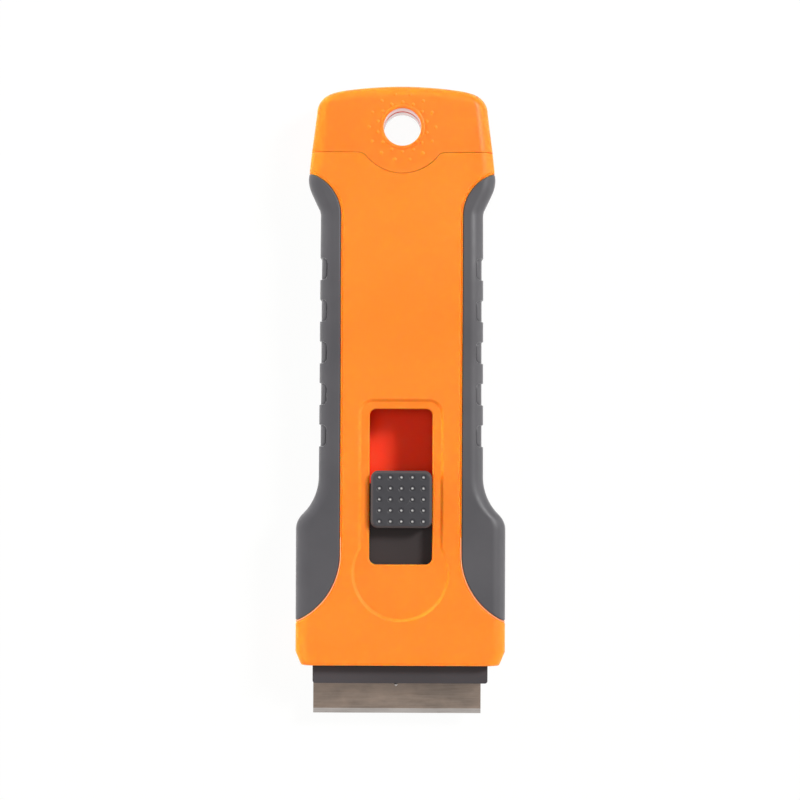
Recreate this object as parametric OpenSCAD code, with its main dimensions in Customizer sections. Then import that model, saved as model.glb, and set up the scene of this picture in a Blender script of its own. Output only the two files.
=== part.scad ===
// Telescopic tile scraper: a two-shell handle with soft side grips, a blade carriage that slides
// out of its mouth and locks by a thumb button, and a pull-off end cap with a tray of spare blades.
// Millimetres. X runs across the width, +Y from the blade to the cap, +Z to the button side.
// The back lies flat at z = 0. Heights along Y are counted from the mouth of the handle.

/* [Handle outline] */
// Length of the handle from its mouth to the top of the cap
handle_len = 131.9; // [126:0.1:150]
// Width at the mouth
mouth_w = 47.8; // [46.4:0.1:54]
// Width of the waist where it leaves the flare
waist_w = 37.5; // [36.4:0.1:39.5]
// How much the waist narrows on its way up
waist_taper = 0.5; // [0:0.1:1.2]
// Width at the shoulder
shoulder_w = 42.6; // [40.5:0.1:46]
// Width of the cap at its top corners
cap_w = 38.9; // [36:0.1:40]
// Height at which the flare starts
flare_y = 30.9; // [30.4:0.1:32.5]
// Length of the flare
flare_len = 12.15; // [10:0.05:14]
// Length of the curve from the waist to the shoulder
shoulder_len = 8.4; // [7:0.1:9.5]
// Distance from the top of that curve up to the parting line of the cap
shoulder_rise = 6.1; // [5.7:0.1:8.1]
// Width of the chamfer at each corner of the mouth
chamfer_w = 1.3; // [0.8:0.05:2]
// Height of that chamfer
chamfer_h = 3.1; // [2.5:0.1:5]
// Radius of the cap's top corners
corner_r = 3.9; // [3.3:0.1:5]
// Radius of the arc along the top of the cap
top_r = 90; // [70:1:140]

/* [Handle section] */
// Thickness of the handle
thick = 16; // [15.7:0.1:19]
// How much thicker the handle is in the middle of the palm
swell = 1.2; // [0:0.1:2]
// Radius of the long edges
edge_r = 3.2; // [2.6:0.1:3.8]
// Radius of the edge round the mouth
mouth_edge = 0.8; // [0.4:0.1:1.2]
// Radius of the edge round the top of the cap
end_r = 2.6; // [2:0.1:3.2]
// Wall of the two shells
wall = 2.6; // [2.3:0.05:2.8]

/* [Grips] */
// Half-width of the bare strip between the grips
grip_x = 13.9; // [13.8:0.1:14.6]
// Thickness of a grip on the sides
grip_side = 1.8; // [1.4:0.1:2]
// Thickness of a grip on the front and back
grip_face = 1.2; // [0.8:0.1:1.3]
// Radius of the lower end of a grip
grip_low_r = 16.6; // [14:0.1:18]
// Height at which the lower end starts to curve
grip_low_y = 25.4; // [24:0.1:27]
// Radius of the upper end of a grip
grip_top_r = 9.9; // [9:0.1:11]
// Distance from there down to the start of the upper curve, counted from the shoulder
grip_top_drop = 8.3; // [7.9:0.1:9.9]
// Number of finger notches in a grip
notch_n = 5; // [3:1:5]
// Distance from one notch to the next
notch_pitch = 9.48; // [8:0.01:9.8]
// Length of a notch
notch_len = 4.93; // [3.5:0.01:5.5]
// Depth of a notch
notch_depth = 0.35; // [0.2:0.05:0.6]
// How far a notch wraps onto the front
notch_wrap = 1.6; // [1:0.1:2.4]
// How far the notches sit below the middle of the waist
notch_drop = 1.2; // [0:0.1:3]

/* [End cap] */
// Height of the cap above its parting line
cap_h = 15.1; // [14.4:0.1:17]
// Distance from the top of the cap down to the hanging hole
hole_drop = 9.4; // [8.6:0.1:9.8]
// Radius of the hanging hole
hole_r = 4.25; // [3.5:0.05:4.6]
// Width of the raised rim round the hole
rim_w = 0.8; // [0.4:0.1:1.2]
// Height of that rim
rim_h = 0.2; // [0.1:0.05:0.4]
// Radius of the dip in the parting line round the hole
dip_r = 10.45; // [9.5:0.05:11.5]
// Radius of the blend where the dip meets the line
dip_blend = 2.3; // [1:0.1:3]
// Gap of the parting line
cap_seam = 0.15; // [0.1:0.01:0.3]
// How far the plug of the cap reaches into the handle
plug_len = 3.7; // [3:0.1:3.9]
// Wall of that plug
plug_wall = 1.6; // [1.2:0.1:2]

/* [Blade and carriage] */
// Width of the blade
blade_w = 38.6; // [36.5:0.1:39]
// Height of the blade from its edge to its back
blade_h = 19; // [18:0.1:19.5]
// Thickness of the blade's steel
blade_t = 0.25; // [0.2:0.01:0.4]
// Height of the ground bevel at the edge
bevel_h = 1.1; // [1:0.1:2]
// How far the blade reaches out of the carriage
blade_out = 7.4; // [5:0.1:8]
// How far the carriage reaches out of the mouth at rest
bar_out = 4.3; // [2.5:0.1:5]
// How much wider the carriage is than the blade
bar_margin = 1.4; // [1.2:0.1:2.2]
// How far the blade sits left of the middle
blade_shift = 0.7; // [0:0.05:0.7]
// Height of the blade's plane above the back
blade_z = 6; // [5.6:0.1:7]
// Length of the carriage head
head_len = 19.5; // [18:0.1:20]
// Radius of the locating pegs
peg_r = 1; // [0.8:0.05:1.2]
// Width of the folded spine on the back of the blade
spine_w = 4.3; // [3.5:0.1:5]
// Thickness of that spine
spine_t = 1; // [0.8:0.05:1.2]
// Width of the tongue behind the head
tongue_w = 17.8; // [17:0.1:18]
// Thickness of the tongue
tongue_t = 2.2; // [1.8:0.1:2.4]
// Wall of the tongue's two skirts
skirt_t = 1.2; // [1:0.1:1.3]
// Clearance of the sliding pieces to the shells
slide_gap = 0.3; // [0.2:0.05:0.35]

/* [Thumb button] */
// Height of the middle of the button at rest
button_y = 37.9; // [37.5:0.1:38.5]
// Length of the button along the handle
button_l = 13; // [12:0.1:14]
// Corner radius of the button
button_r = 1.7; // [1:0.1:2.5]
// Height of the button above the floor of the recess
button_rise = 2; // [1.8:0.1:3]
// Travel of the button when it is pressed
press = 1.3; // [1:0.1:1.4]
// Gap beside the button in its slot
button_gap = 0.15; // [0.1:0.01:0.3]
// Number of grip bumps along and across
bump_n = 5; // [3:1:5]
// Distance from one bump to the next
bump_pitch = 2.5; // [2:0.05:2.6]
// Radius of a bump
bump_r = 0.45; // [0.3:0.05:0.6]
// Height of a bump
bump_h = 0.3; // [0.2:0.05:0.5]
// Thickness of the leaf of the lock spring
leaf_t = 0.25; // [0.2:0.01:0.35]
// Width of that leaf
leaf_w = 8; // [6:0.1:9]

/* [Slot and recess] */
// Width of the slot
slot_w = 14.3; // [13.8:0.05:14.6]
// Corner radius of the slot
slot_r = 1.5; // [1:0.1:2.5]
// Travel of the blade outwards from rest
travel_out = 7.9; // [6:0.1:8]
// Travel of the blade inwards from rest
travel_in = 13.5; // [11:0.1:14]
// Spare length at each end of the slot
slot_spare = 0.5; // [0.3:0.05:1]
// Depth of the recess round the slot
recess_d = 0.6; // [0.3:0.05:0.8]
// Width of the recess beside the slot
recess_w = 18.2; // [17:0.1:20]
// Corner radius of the recess
recess_r = 3; // [2:0.1:4]
// Radius of the round thumb rest below the slot
rest_r = 10.75; // [10:0.05:12.5]
// Height of the centre of that thumb rest
rest_y = 21.2; // [20:0.1:23]

/* [Storage] */
// Wall of the tray
tray_wall = 1.1; // [0.9:0.05:1.2]
// Room round the spare blades
tray_room = 0.2; // [0.1:0.05:0.4]
// Room at each end of the spare blades
tray_end = 0.6; // [0.3:0.1:1]
// Half-width of the storage chamber
store_x = 14.7; // [14.4:0.1:14.8]

/* [Screws] */
// Radius of a screw boss
boss_r = 2.3; // [2.1:0.05:2.4]
// Radius of a screw's shank
screw_r = 1.25; // [1:0.05:1.4]
// Radius of a screw's head
screw_head_r = 2.1; // [1.8:0.05:2.2]
// Height of a screw's head
screw_head_h = 1.5; // [1.2:0.1:1.6]
// Depth of the recess that holds a screw's head
screw_sink = 1.8; // [1.6:0.1:2]
// Distance of the lower screws from the middle
low_screw_x = 11.6; // [11.5:0.1:11.7]
// Height of the lower screws
low_screw_y = 35; // [34:0.1:36]
// Distance of the upper screws from the middle
top_screw_x = 14; // [13.9:0.1:14.3]

/* [Hidden] */
$fn = 64;
big = 100;
over = 1;

// Heights of the outline
rest_mid_y = (handle_len - bar_out - blade_out) / 2;
waist_y0 = flare_y + flare_len;
cap_y = handle_len - cap_h;
shoulder_y1 = cap_y - shoulder_rise;
shoulder_y0 = shoulder_y1 - shoulder_len;
corner_y = handle_len - corner_r;
hole_y = handle_len - hole_drop;
waist_top_w = waist_w - waist_taper;
// Radii of each S on the side of the waist and on the other, as shares of those that leave no straight
flare_radii = [0.72, 0.28];
shoulder_radii = [0.25, 0.55];

// Button, slot and carriage
button_w = slot_w - 2 * button_gap;
slot_y0 = button_y - button_l / 2 - travel_out - slot_spare;
slot_y1 = button_y + button_l / 2 + travel_in + slot_spare;
recess_margin = 2;
recess_z = thick - recess_d;
ceiling_z = thick - wall;
head_w = blade_w + bar_margin;
head_y0 = -bar_out;
head_y1 = head_y0 + head_len;
head_z1 = ceiling_z - slide_gap;
clamp_z0 = wall + slide_gap;
blade_y0 = head_y0 - blade_out;
blade_y1 = blade_y0 + blade_h;
spine_gap = 0.1;
head_r = 0.6;
edge_t = 0.04;
spine_inset = 0.3;
peg_drop = 2.4;
peg_up = blade_h - spine_w - peg_drop;
peg_len = 1.4;
peg_room = 0.2;
hook_x = 11;
hook_w = 3;
hook_y = 3.5;
hook_l = 1.5;
hook_h = 2;
hook_gap = 0.1;
tongue_root = 1;
post_w = 7;
post_l = 6;
rivet_y = head_y1 + post_l / 2;
rivet_h = 0.6;
rivet_gap = 0.02;
tongue_z0 = head_z1 - tongue_t;
tongue_short = 3;
tongue_y1 = button_y + button_l / 2 - tongue_short;
stem_w = 10;
stem_l = 5.4;
stem_drop = 1.2;
stem_y = button_y - stem_drop;
stem_gap = 0.3;
stem_root = 0.2;
leg_t = 1.8;
barb = 1.3;
flange_t = 1.5;
leg_z0 = tongue_z0 - stem_gap - flange_t;
leaf_gap = 0.05;
leaf_z1 = leg_z0 - leaf_gap;
leaf_z0 = leaf_z1 - leaf_t;
leaf_room = 0.6;
pad_gap = 0.1;
pad_z0 = head_z1 + press + pad_gap;
pad_z1 = recess_z + button_rise;
pad_chamfer = 0.5;
pad_layer = 0.01;
bump_root = 0.1;
ear_margin = 0.3;
ear_inset = 0.15;
ear_x0 = slot_w / 2 + ear_margin;
ear_x1 = tongue_w / 2 - ear_inset;
ear_len = 1.4;
ear_rise = 0.8;
ear_gap = 0.4;
notch_gap = 0.3;
notch_side = 0.05;

// Chambers of the handle
parting_z = thick / 2;
chamber_x = head_w / 2 + slide_gap;
chamber_spare = 0.8;
chamber_y1 = head_y1 + travel_in + chamber_spare;
neck_y = waist_y0 - flare_len / 3;
bulkhead_t = 2;
bulkhead_y0 = slot_y1 + wall;
bulkhead_y1 = bulkhead_y0 + bulkhead_t;
top_screw_rise = -0.7;
low_screw = [low_screw_x, low_screw_y];
top_screw = [top_screw_x, shoulder_y1 + top_screw_rise];
boss_root = 0.4;
screw_room = 0.05;
head_room = 0.25;
thread_cap = 0.6;
thread_z = ceiling_z - thread_cap;
tip_gap = 0.3;
shank_root = 0.5;
cross_l = 2.4;
cross_w = 0.5;
cross_d = 0.7;

// Tray and spare blades
plug_y = cap_y - plug_len;
plug_x = store_x - slide_gap;
plug_z0 = wall + slide_gap;
plug_z1 = ceiling_z - slide_gap;
cap_top_wall = 2;
neck_len = 3;
collar_t = 0.5;
finger_r = 6;
spare_w = blade_h + spine_t / 2;
tray_x = spare_w / 2 + tray_room + tray_wall;
tray_z1 = plug_z1 - slide_gap;
tray_floor = 1.2;
tray_len = blade_w + 2 * tray_end;
tray_y1 = plug_y - neck_len - 2 * tray_wall;
tray_y0 = tray_y1 - tray_len;
spare_gap = 0.08;
spare_pitch = spine_t + spare_gap;
spare_z0 = plug_z0 + tray_floor;
rail_x = tray_x + slide_gap;
rail_t = 1.2;
rail_h = 3.5;

// Stretch of the palm that swells
swell_over = 1.6;
swell_y0 = slot_y1 + recess_margin + wall;
swell_y1 = shoulder_y1 + swell_over;

// Across an S of an arc, a straight and an arc: how far it has stepped aside at t of its length
function s_step(t, len, step, radii) =
    let(both = (len * len + step * step) / (2 * step), r1 = radii[0] * both, r2 = radii[1] * both,
        beyond = step - r1 - r2,
        a = asin(min(1, (r1 + r2) / sqrt(len * len + beyond * beyond))) + atan2(beyond, len))
    t <= 0 ? 0
    : t >= len ? step
    : t < r1 * sin(a) ? r1 - sqrt(r1 * r1 - t * t)
    : t > len - r2 * sin(a) ? step - r2 + sqrt(r2 * r2 - (len - t) * (len - t))
    : r1 * (1 - cos(a)) + (t - r1 * sin(a)) * tan(a);

// Half-width of the outline at a height
function half_w(y) =
    y < chamfer_h ? mouth_w / 2 - chamfer_w * (1 - y / chamfer_h)
    : y < waist_y0 ? waist_w / 2 + s_step(waist_y0 - y, flare_len, (mouth_w - waist_w) / 2, flare_radii)
    : y < shoulder_y0 ? waist_w / 2 - waist_taper / 2 * (y - waist_y0) / (shoulder_y0 - waist_y0)
    : y < shoulder_y1 ? waist_top_w / 2
        + s_step(y - shoulder_y0, shoulder_len, (shoulder_w - waist_top_w) / 2, shoulder_radii)
    : y < corner_y ? shoulder_w / 2
        - (shoulder_w - cap_w) / 2 * (y - shoulder_y1) / (corner_y - shoulder_y1)
    : cap_w / 2 - corner_r + sqrt(max(0, corner_r * corner_r - (y - corner_y) * (y - corner_y)));

// How much front and back draw in where the ends are rounded
function draw_in(r, t) = t >= r ? 0 : r - sqrt(r * r - (r - t) * (r - t));
function end_in(y) = draw_in(mouth_edge, y) + draw_in(end_r, handle_len - y);

// Thickness at a height, with the swell of the palm
function front_z(y) = thick
    + (y > swell_y0 && y < swell_y1 ? swell * pow(sin(180 * (y - swell_y0) / (swell_y1 - swell_y0)), 2) : 0);

// How far the top arc has bent a cross-section at a height
function bow(y) = max(0, min(1, (y - cap_y) / (corner_y - cap_y)));

// Points of one rounded cross-section, with n stretches along its flats
corner_steps = 4;
dip_steps = 24;
fillet_steps = 6;
grip_steps = 16;
function arc(c, r, a0, a1, steps) =
    [for (i = [0:steps]) let(a = a0 + (a1 - a0) * i / steps) c + r * [cos(a), sin(a)]];
function between(p, q, n) = [for (i = [1:1:n - 1]) p + (q - p) * i / n];
function section(w, lo, hi, r, n) =
    let(right = arc([w - r, hi - r], r, 0, 90, corner_steps),
        left = arc([r - w, hi - r], r, 90, 180, corner_steps),
        left_low = arc([r - w, lo + r], r, 180, 270, corner_steps),
        right_low = arc([w - r, lo + r], r, 270, 360, corner_steps))
    concat(right, between(right[corner_steps], left[0], n), left,
        left_low, between(left_low[corner_steps], right_low[0], n), right_low);
function ring(y, side, face, n) =
    [for (p = section(half_w(y) - side, face + end_in(y), front_z(y) - face - end_in(y),
        edge_r - min(side, face), n))
        [p[0], y - bow(y) * p[0] * p[0] / (2 * top_r), p[1]]];

// Loft through the cross-sections at the heights ys, set in by side and face
module loft(ys, side = 0, face = 0, n = 1) {
    size = 4 * corner_steps + 2 * n + 2;
    half = size / 2;
    last = (len(ys) - 1) * size;
    skin = [for (j = [0:len(ys) - 2], i = [0:size - 1])
        let(a = j * size + i, b = j * size + (i + 1) % size)
        each [[a, b, b + size], [a, b + size, a + size]]];
    ends = [for (k = [0:half - 2]) let(m = size - 1 - k)
        each [[k, m, m - 1, k + 1], [last + k, last + k + 1, last + m - 1, last + m]]];
    polyhedron([for (y = ys) each ring(y, side, face, n)], concat(skin, ends), convexity = 6);
}

function steps(from, to, n) = [for (i = [0:n]) from + (to - from) * i / n];
function inner_steps(from, to, n) = [for (i = [1:n - 1]) from + (to - from) * i / n];
mouth_ys = [for (a = [0:30:90]) mouth_edge * (1 - cos(a))];
side_ys = concat([chamfer_h], steps(flare_y, waist_y0, 9), [slot_y1, swell_y0],
    inner_steps(swell_y0, shoulder_y0, 6), steps(shoulder_y0, shoulder_y1, 7), [swell_y1]);
handle_ys = concat(mouth_ys, side_ys, [cap_y + over]);
core_ys = concat([chamfer_h + over], [for (y = side_ys) if (y > chamfer_h) y], [cap_y - over]);
end_ys = concat([hole_y - dip_r - over, cap_y], inner_steps(cap_y, corner_y, 3),
    [for (a = [0:15:90]) corner_y + corner_r * sin(a)]);
notch_y0 = (waist_y0 + shoulder_y0 - (notch_n - 1) * notch_pitch - notch_len) / 2 - notch_drop;
notch_ys = concat([notch_y0 - over, swell_y0],
    [for (y = side_ys) if (y > swell_y0 && y < shoulder_y0) y], [shoulder_y0]);

// Rounded rectangle about the origin
module rounded(w, h, r) {
    square([w - 2 * r, h], center = true);
    square([w, h - 2 * r], center = true);
    for (x = [-1, 1], y = [-1, 1])
        translate([x * (w / 2 - r), y * (h / 2 - r)]) circle(r);
}

module prism(z0, z1) translate([0, 0, z0]) linear_extrude(z1 - z0) children();
module through() prism(-over, thick + swell + over) children();
module box(x0, x1, y0, y1, z0, z1) translate([x0, y0, z0]) cube([x1 - x0, y1 - y0, z1 - z0]);
module bar(x, y0, y1, z0, z1) box(-x, x, y0, y1, z0, z1);
module cylinder_between(r, z0, z1) translate([0, 0, z0]) cylinder(h = z1 - z0, r = r);
module both_sides() {
    children();
    mirror([1, 0, 0]) children();
}
module placed() translate([0, -rest_mid_y, 0]) children();

// Outline of the part that belongs to the cap, grown by g
module cap_region(g = 0) {
    r = dip_r + g;
    f = dip_blend - g;
    fillet = [sqrt(pow(dip_r + dip_blend, 2) - pow(hole_y - cap_y + dip_blend, 2)), cap_y - dip_blend];
    a = atan2(hole_y - fillet[1], fillet[0]);
    dip = arc([0, hole_y], r, a - 180, -a, dip_steps);
    right = arc(fillet, f, 180 - a, 90, fillet_steps);
    left = [for (i = [fillet_steps:-1:0]) [-right[i][0], right[i][1]]];
    polygon(concat([[-big, handle_len + over], [-big, cap_y - g]], left,
        [for (i = [1:dip_steps - 1]) dip[i]], right, [[big, cap_y - g], [big, handle_len + over]]));
}

// Outline of the right grip
module grip_region() {
    y1 = shoulder_y1 - grip_top_drop;
    low = arc([grip_x + grip_low_r, grip_low_y], grip_low_r, 270, 180, grip_steps);
    top = arc([grip_x + grip_top_r, y1], grip_top_r, 180, 90, grip_steps);
    polygon(concat(low, top, [[big, y1 + grip_top_r], [big, grip_low_y - grip_low_r]]));
}

// Room inside the handle: the chamber of the carriage and the storage chamber
module chambers() prism(wall, ceiling_z) {
    polygon([[-chamber_x, -over], [chamber_x, -over], [chamber_x, chamber_y1], [store_x, neck_y],
        [store_x, bulkhead_y0], [-store_x, bulkhead_y0], [-store_x, neck_y], [-chamber_x, chamber_y1]]);
    translate([-store_x, bulkhead_y1]) square([2 * store_x, cap_y + 2 * over - bulkhead_y1]);
}

module screw_places()
    both_sides() for (p = [low_screw, top_screw]) translate([p[0], p[1], 0]) children();

// Wall of one shell, before its bosses
module shell_wall() difference() {
    loft(handle_ys);
    both_sides() difference() {
        through() grip_region();
        loft(core_ys, grip_side, grip_face);
    }
    through() cap_region(cap_seam);
    chambers();
}

module front_shell() placed() color("darkorange") difference() {
    union() {
        difference() {
            shell_wall();
            bar(big, -over, handle_len, -over, parting_z);
        }
        screw_places() cylinder_between(boss_r, parting_z, ceiling_z + boss_root);
    }
    prism(recess_z, thick + over) {
        translate([0, rest_y]) circle(rest_r);
        translate([0, (rest_y + slot_y1 + recess_margin) / 2])
            rounded(recess_w, slot_y1 + recess_margin - rest_y, recess_r);
    }
    prism(ceiling_z - over, thick) translate([0, (slot_y0 + slot_y1) / 2])
        rounded(slot_w, slot_y1 - slot_y0, slot_r);
    for (y = [-travel_out, 0, travel_in])
        bar(tongue_w / 2 + notch_side, stem_y + y - ear_len / 2 - ear_gap, stem_y + y + ear_len / 2 + ear_gap,
            ceiling_z - over, ceiling_z + ear_rise + notch_gap);
    screw_places() cylinder_between(screw_r + screw_room, parting_z - over, thread_z);
}

module back_shell() placed() color("darkorange") difference() {
    union() {
        difference() {
            shell_wall();
            bar(big, -over, handle_len, parting_z, thick + swell + over);
        }
        screw_places() cylinder_between(boss_r, wall - boss_root, parting_z);
        both_sides() box(rail_x, rail_x + rail_t, bulkhead_y1 - boss_root, top_screw[1] - boss_r - rail_t,
            wall - boss_root, wall + rail_h);
    }
    screw_places() {
        cylinder_between(screw_head_r + head_room, -over, screw_sink);
        cylinder_between(screw_r + screw_room, 0, parting_z + over);
    }
}

// Right grip, a soft strip round the side of both shells
module grip() difference() {
    intersection() {
        loft(handle_ys);
        through() grip_region();
    }
    loft(core_ys, grip_side, grip_face);
    difference() {
        for (i = [0:notch_n - 1])
            box(waist_top_w / 2 - notch_wrap, big, notch_y0 + i * notch_pitch,
                notch_y0 + i * notch_pitch + notch_len, -over, thick + swell + over);
        loft(notch_ys, notch_depth, notch_depth);
    }
}
module right_grip() placed() color("dimgray") grip();
module left_grip() placed() color("dimgray") mirror([1, 0, 0]) grip();

module end_cap() placed() color("darkorange") difference() {
    union() {
        difference() {
            intersection() {
                loft(end_ys, n = 8);
                through() cap_region();
            }
            bar(big, 0, cap_y, plug_z0, plug_z1);
        }
        bar(plug_x, plug_y, cap_y + over, plug_z0, plug_z1);
        translate([0, hole_y, 0]) cylinder_between(hole_r + rim_w, thick - over, thick + rim_h);
    }
    difference() {
        bar(plug_x - plug_wall, plug_y - over, handle_len - end_r - cap_top_wall, plug_z0 + plug_wall,
            plug_z1 - plug_wall);
        translate([0, hole_y, 0]) cylinder_between(hole_r + plug_wall, 0, thick);
    }
    translate([0, hole_y, 0]) cylinder_between(hole_r, -over, thick + over);
}

module blade_tray() placed() color("dimgray") {
    difference() {
        bar(tray_x, tray_y0 - tray_wall, plug_y, plug_z0, tray_z1);
        bar(tray_x - tray_wall, tray_y0, tray_y1, spare_z0, thick);
        translate([0, (tray_y0 + tray_y1) / 2, tray_z1]) rotate([0, 90, 0])
            cylinder(h = 2 * big, r = finger_r, center = true);
        bar(tray_x - tray_wall, tray_y1 + tray_wall, plug_y - tray_wall, spare_z0, thick);
    }
    bar(plug_x - plug_wall, plug_y - collar_t, plug_y + neck_len, plug_z0 + plug_wall,
        plug_z1 - plug_wall);
}

// Steel of a blade: its edge at y = 0, its back at y = blade_h, and a notch at each end
module blade_steel() difference() {
    translate([-blade_w / 2, 0, 0]) rotate([90, 0, 90]) linear_extrude(blade_w)
        polygon([[0, -edge_t / 2], [bevel_h, -blade_t / 2], [blade_h, -blade_t / 2],
            [blade_h, blade_t / 2], [bevel_h, blade_t / 2], [0, edge_t / 2]]);
    both_sides() translate([blade_w / 2, peg_up, 0]) cylinder_between(peg_r + peg_room, -over, over);
}
module peg_places() translate([-blade_shift, blade_y0 + peg_up, 0])
    both_sides() translate([blade_w / 2, 0, 0]) children();

// Folded spine that stiffens the back of a blade
module folded_spine() difference() {
    bar(blade_w / 2 - spine_inset, blade_h - spine_w, blade_h + spine_t / 2, -spine_t / 2, spine_t / 2);
    bar(blade_w, blade_h - spine_w - over, blade_h, -blade_t / 2, blade_t / 2);
}

// Where spare blade number i lies in the tray, on its back along the handle
module spare_place(i) placed()
    translate([-spare_w / 2, (tray_y0 + tray_y1) / 2, spare_z0 + (i - 0.5) * spare_pitch - spare_gap / 2])
        rotate([0, 0, -90]) children();
module spare_blade(i) spare_place(i) color("silver") blade_steel();
module spare_spine(i) spare_place(i) color("gray") folded_spine();

module blade_place() placed() translate([-blade_shift, blade_y0, blade_z]) children();
module scraper_blade() color("silver") blade_place() blade_steel();
module blade_spine() color("gray") blade_place() folded_spine();

module blade_carriage() placed() color("darkslategray") difference() {
    union() {
        prism(blade_z + blade_t / 2, head_z1) translate([0, (head_y0 + head_y1) / 2])
            rounded(head_w, head_len, head_r);
        bar(tongue_w / 2, head_y1 - tongue_root, tongue_y1, tongue_z0, head_z1);
        both_sides() box(tongue_w / 2 - skirt_t, tongue_w / 2, head_y1 - tongue_root, tongue_y1,
            clamp_z0, head_z1);
        bar(post_w / 2, head_y1 - tongue_root, head_y1 + post_l, leaf_z1, head_z1);
        translate([0, rivet_y, 0]) cylinder_between(peg_r, leaf_z0 - rivet_h, leaf_z1 + over);
        intersection() {
            peg_places() cylinder_between(peg_r, blade_z - peg_len, blade_z + over);
            bar(head_w / 2, head_y0, head_y1, 0, thick);
        }
    }
    translate([-blade_shift, 0, 0]) bar(blade_w / 2, blade_y1 - spine_w - spine_gap, blade_y1 + spine_t / 2
        + spine_gap, blade_z, blade_z + spine_t / 2 + spine_gap);
    both_sides() box(hook_x - hook_gap, hook_x + hook_w + hook_gap, head_y1 - hook_y - hook_gap,
        head_y1 - hook_y + hook_l + hook_gap, blade_z, blade_z + hook_h + hook_gap);
    bar(stem_w / 2 + stem_gap, stem_y - stem_l / 2 - stem_gap, stem_y + stem_l / 2 + stem_gap,
        tongue_z0 - over, head_z1 + over);
    both_sides() box(ear_x0 - ear_inset, big, stem_y - ear_len / 2 - ear_gap,
        stem_y + ear_len / 2 + ear_gap, leaf_z0 - press - leaf_room, head_z1 + over);
}

// Plate that clips on behind the blade, with two hooks that sit in pockets of the carriage
module blade_clamp() placed() color("darkslategray") {
    difference() {
        prism(clamp_z0, blade_z + blade_t / 2) translate([0, (head_y0 + head_y1) / 2])
            rounded(head_w, head_len, head_r);
        bar(big, head_y0 - over, blade_y1 + spine_t / 2 + spine_gap, blade_z - blade_t / 2, thick);
        translate([-blade_shift, 0, 0]) bar(blade_w / 2, blade_y1 - spine_w - spine_gap,
            blade_y1 + spine_t / 2 + spine_gap, blade_z - spine_t / 2 - spine_gap, thick);
        peg_places() cylinder_between(peg_r + spine_gap, blade_z - peg_len - spine_gap, thick);
        bar(tongue_w / 2 + spine_gap, head_y1 - tongue_root - spine_gap, big, clamp_z0 - over, thick);
    }
    both_sides() box(hook_x, hook_x + hook_w, head_y1 - hook_y, head_y1 - hook_y + hook_l,
        blade_z - over, blade_z + hook_h);
}

// Leaf spring with two ears that stand in the lock notches of the front shell
module lock_spring() placed() color("lightgray") difference() {
    union() {
        bar(leaf_w / 2, head_y1 + slide_gap, stem_y + stem_l / 2 - slide_gap, leaf_z0, leaf_z1);
        bar(ear_x1, stem_y - ear_len / 2, stem_y + ear_len / 2, leaf_z0, leaf_z1);
        both_sides() box(ear_x0, ear_x1, stem_y - ear_len / 2, stem_y + ear_len / 2, leaf_z0,
            ceiling_z + ear_rise);
    }
    translate([0, rivet_y, 0]) cylinder_between(peg_r + rivet_gap, 0, thick);
}

module thumb_button() placed() color("dimgray") {
    translate([0, button_y, 0]) {
        prism(pad_z0, pad_z1 - pad_chamfer) rounded(button_w, button_l, button_r);
        hull() {
            prism(pad_z1 - pad_chamfer - pad_layer, pad_z1 - pad_chamfer)
                rounded(button_w, button_l, button_r);
            prism(pad_z1 - pad_layer, pad_z1) rounded(button_w - 2 * pad_chamfer, button_l - 2 * pad_chamfer,
                button_r - pad_chamfer);
        }
        for (i = [0:bump_n - 1], j = [0:bump_n - 1])
            translate([(i - (bump_n - 1) / 2) * bump_pitch, (j - (bump_n - 1) / 2) * bump_pitch,
                pad_z1 - bump_root])
                cylinder(h = bump_h + bump_root, r1 = bump_r, r2 = bump_r / 2);
    }
    both_sides() {
        box(stem_w / 2 - leg_t, stem_w / 2, stem_y - stem_l / 2, stem_y + stem_l / 2,
            leg_z0, pad_z0 + stem_root);
        box(stem_w / 2 - leg_t, stem_w / 2 + barb, stem_y - stem_l / 2, stem_y + stem_l / 2,
            leg_z0, leg_z0 + flange_t);
    }
}

module shell_screws() placed() color("silver") screw_places() difference() {
    union() {
        cylinder_between(screw_head_r, screw_sink - screw_head_h, screw_sink);
        cylinder_between(screw_r, screw_sink - shank_root, thread_z - tip_gap);
    }
    translate([0, 0, screw_sink - screw_head_h]) {
        cube([cross_l, cross_w, 2 * cross_d], center = true);
        cube([cross_w, cross_l, 2 * cross_d], center = true);
    }
}

front_shell();
back_shell();
left_grip();
right_grip();
end_cap();
blade_tray();
spare_blade(1);  // spare_blade_1
spare_blade(2);  // spare_blade_2
spare_blade(3);  // spare_blade_3
spare_blade(4);  // spare_blade_4
spare_spine(1);  // spare_spine_1
spare_spine(2);  // spare_spine_2
spare_spine(3);  // spare_spine_3
spare_spine(4);  // spare_spine_4
blade_carriage();
blade_clamp();
scraper_blade();
blade_spine();
lock_spring();
thumb_button();
shell_screws();
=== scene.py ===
"""Looks of the telescopic tile scraper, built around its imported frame.

Pieces are built in millimetres, with heights along y counted from the mouth of the handle as in the
part's source, and place() moves them to the row frame in metres.
"""
import math

import bmesh
import bpy
from mathutils import Matrix, Vector
from mathutils.kdtree import KDTree


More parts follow.
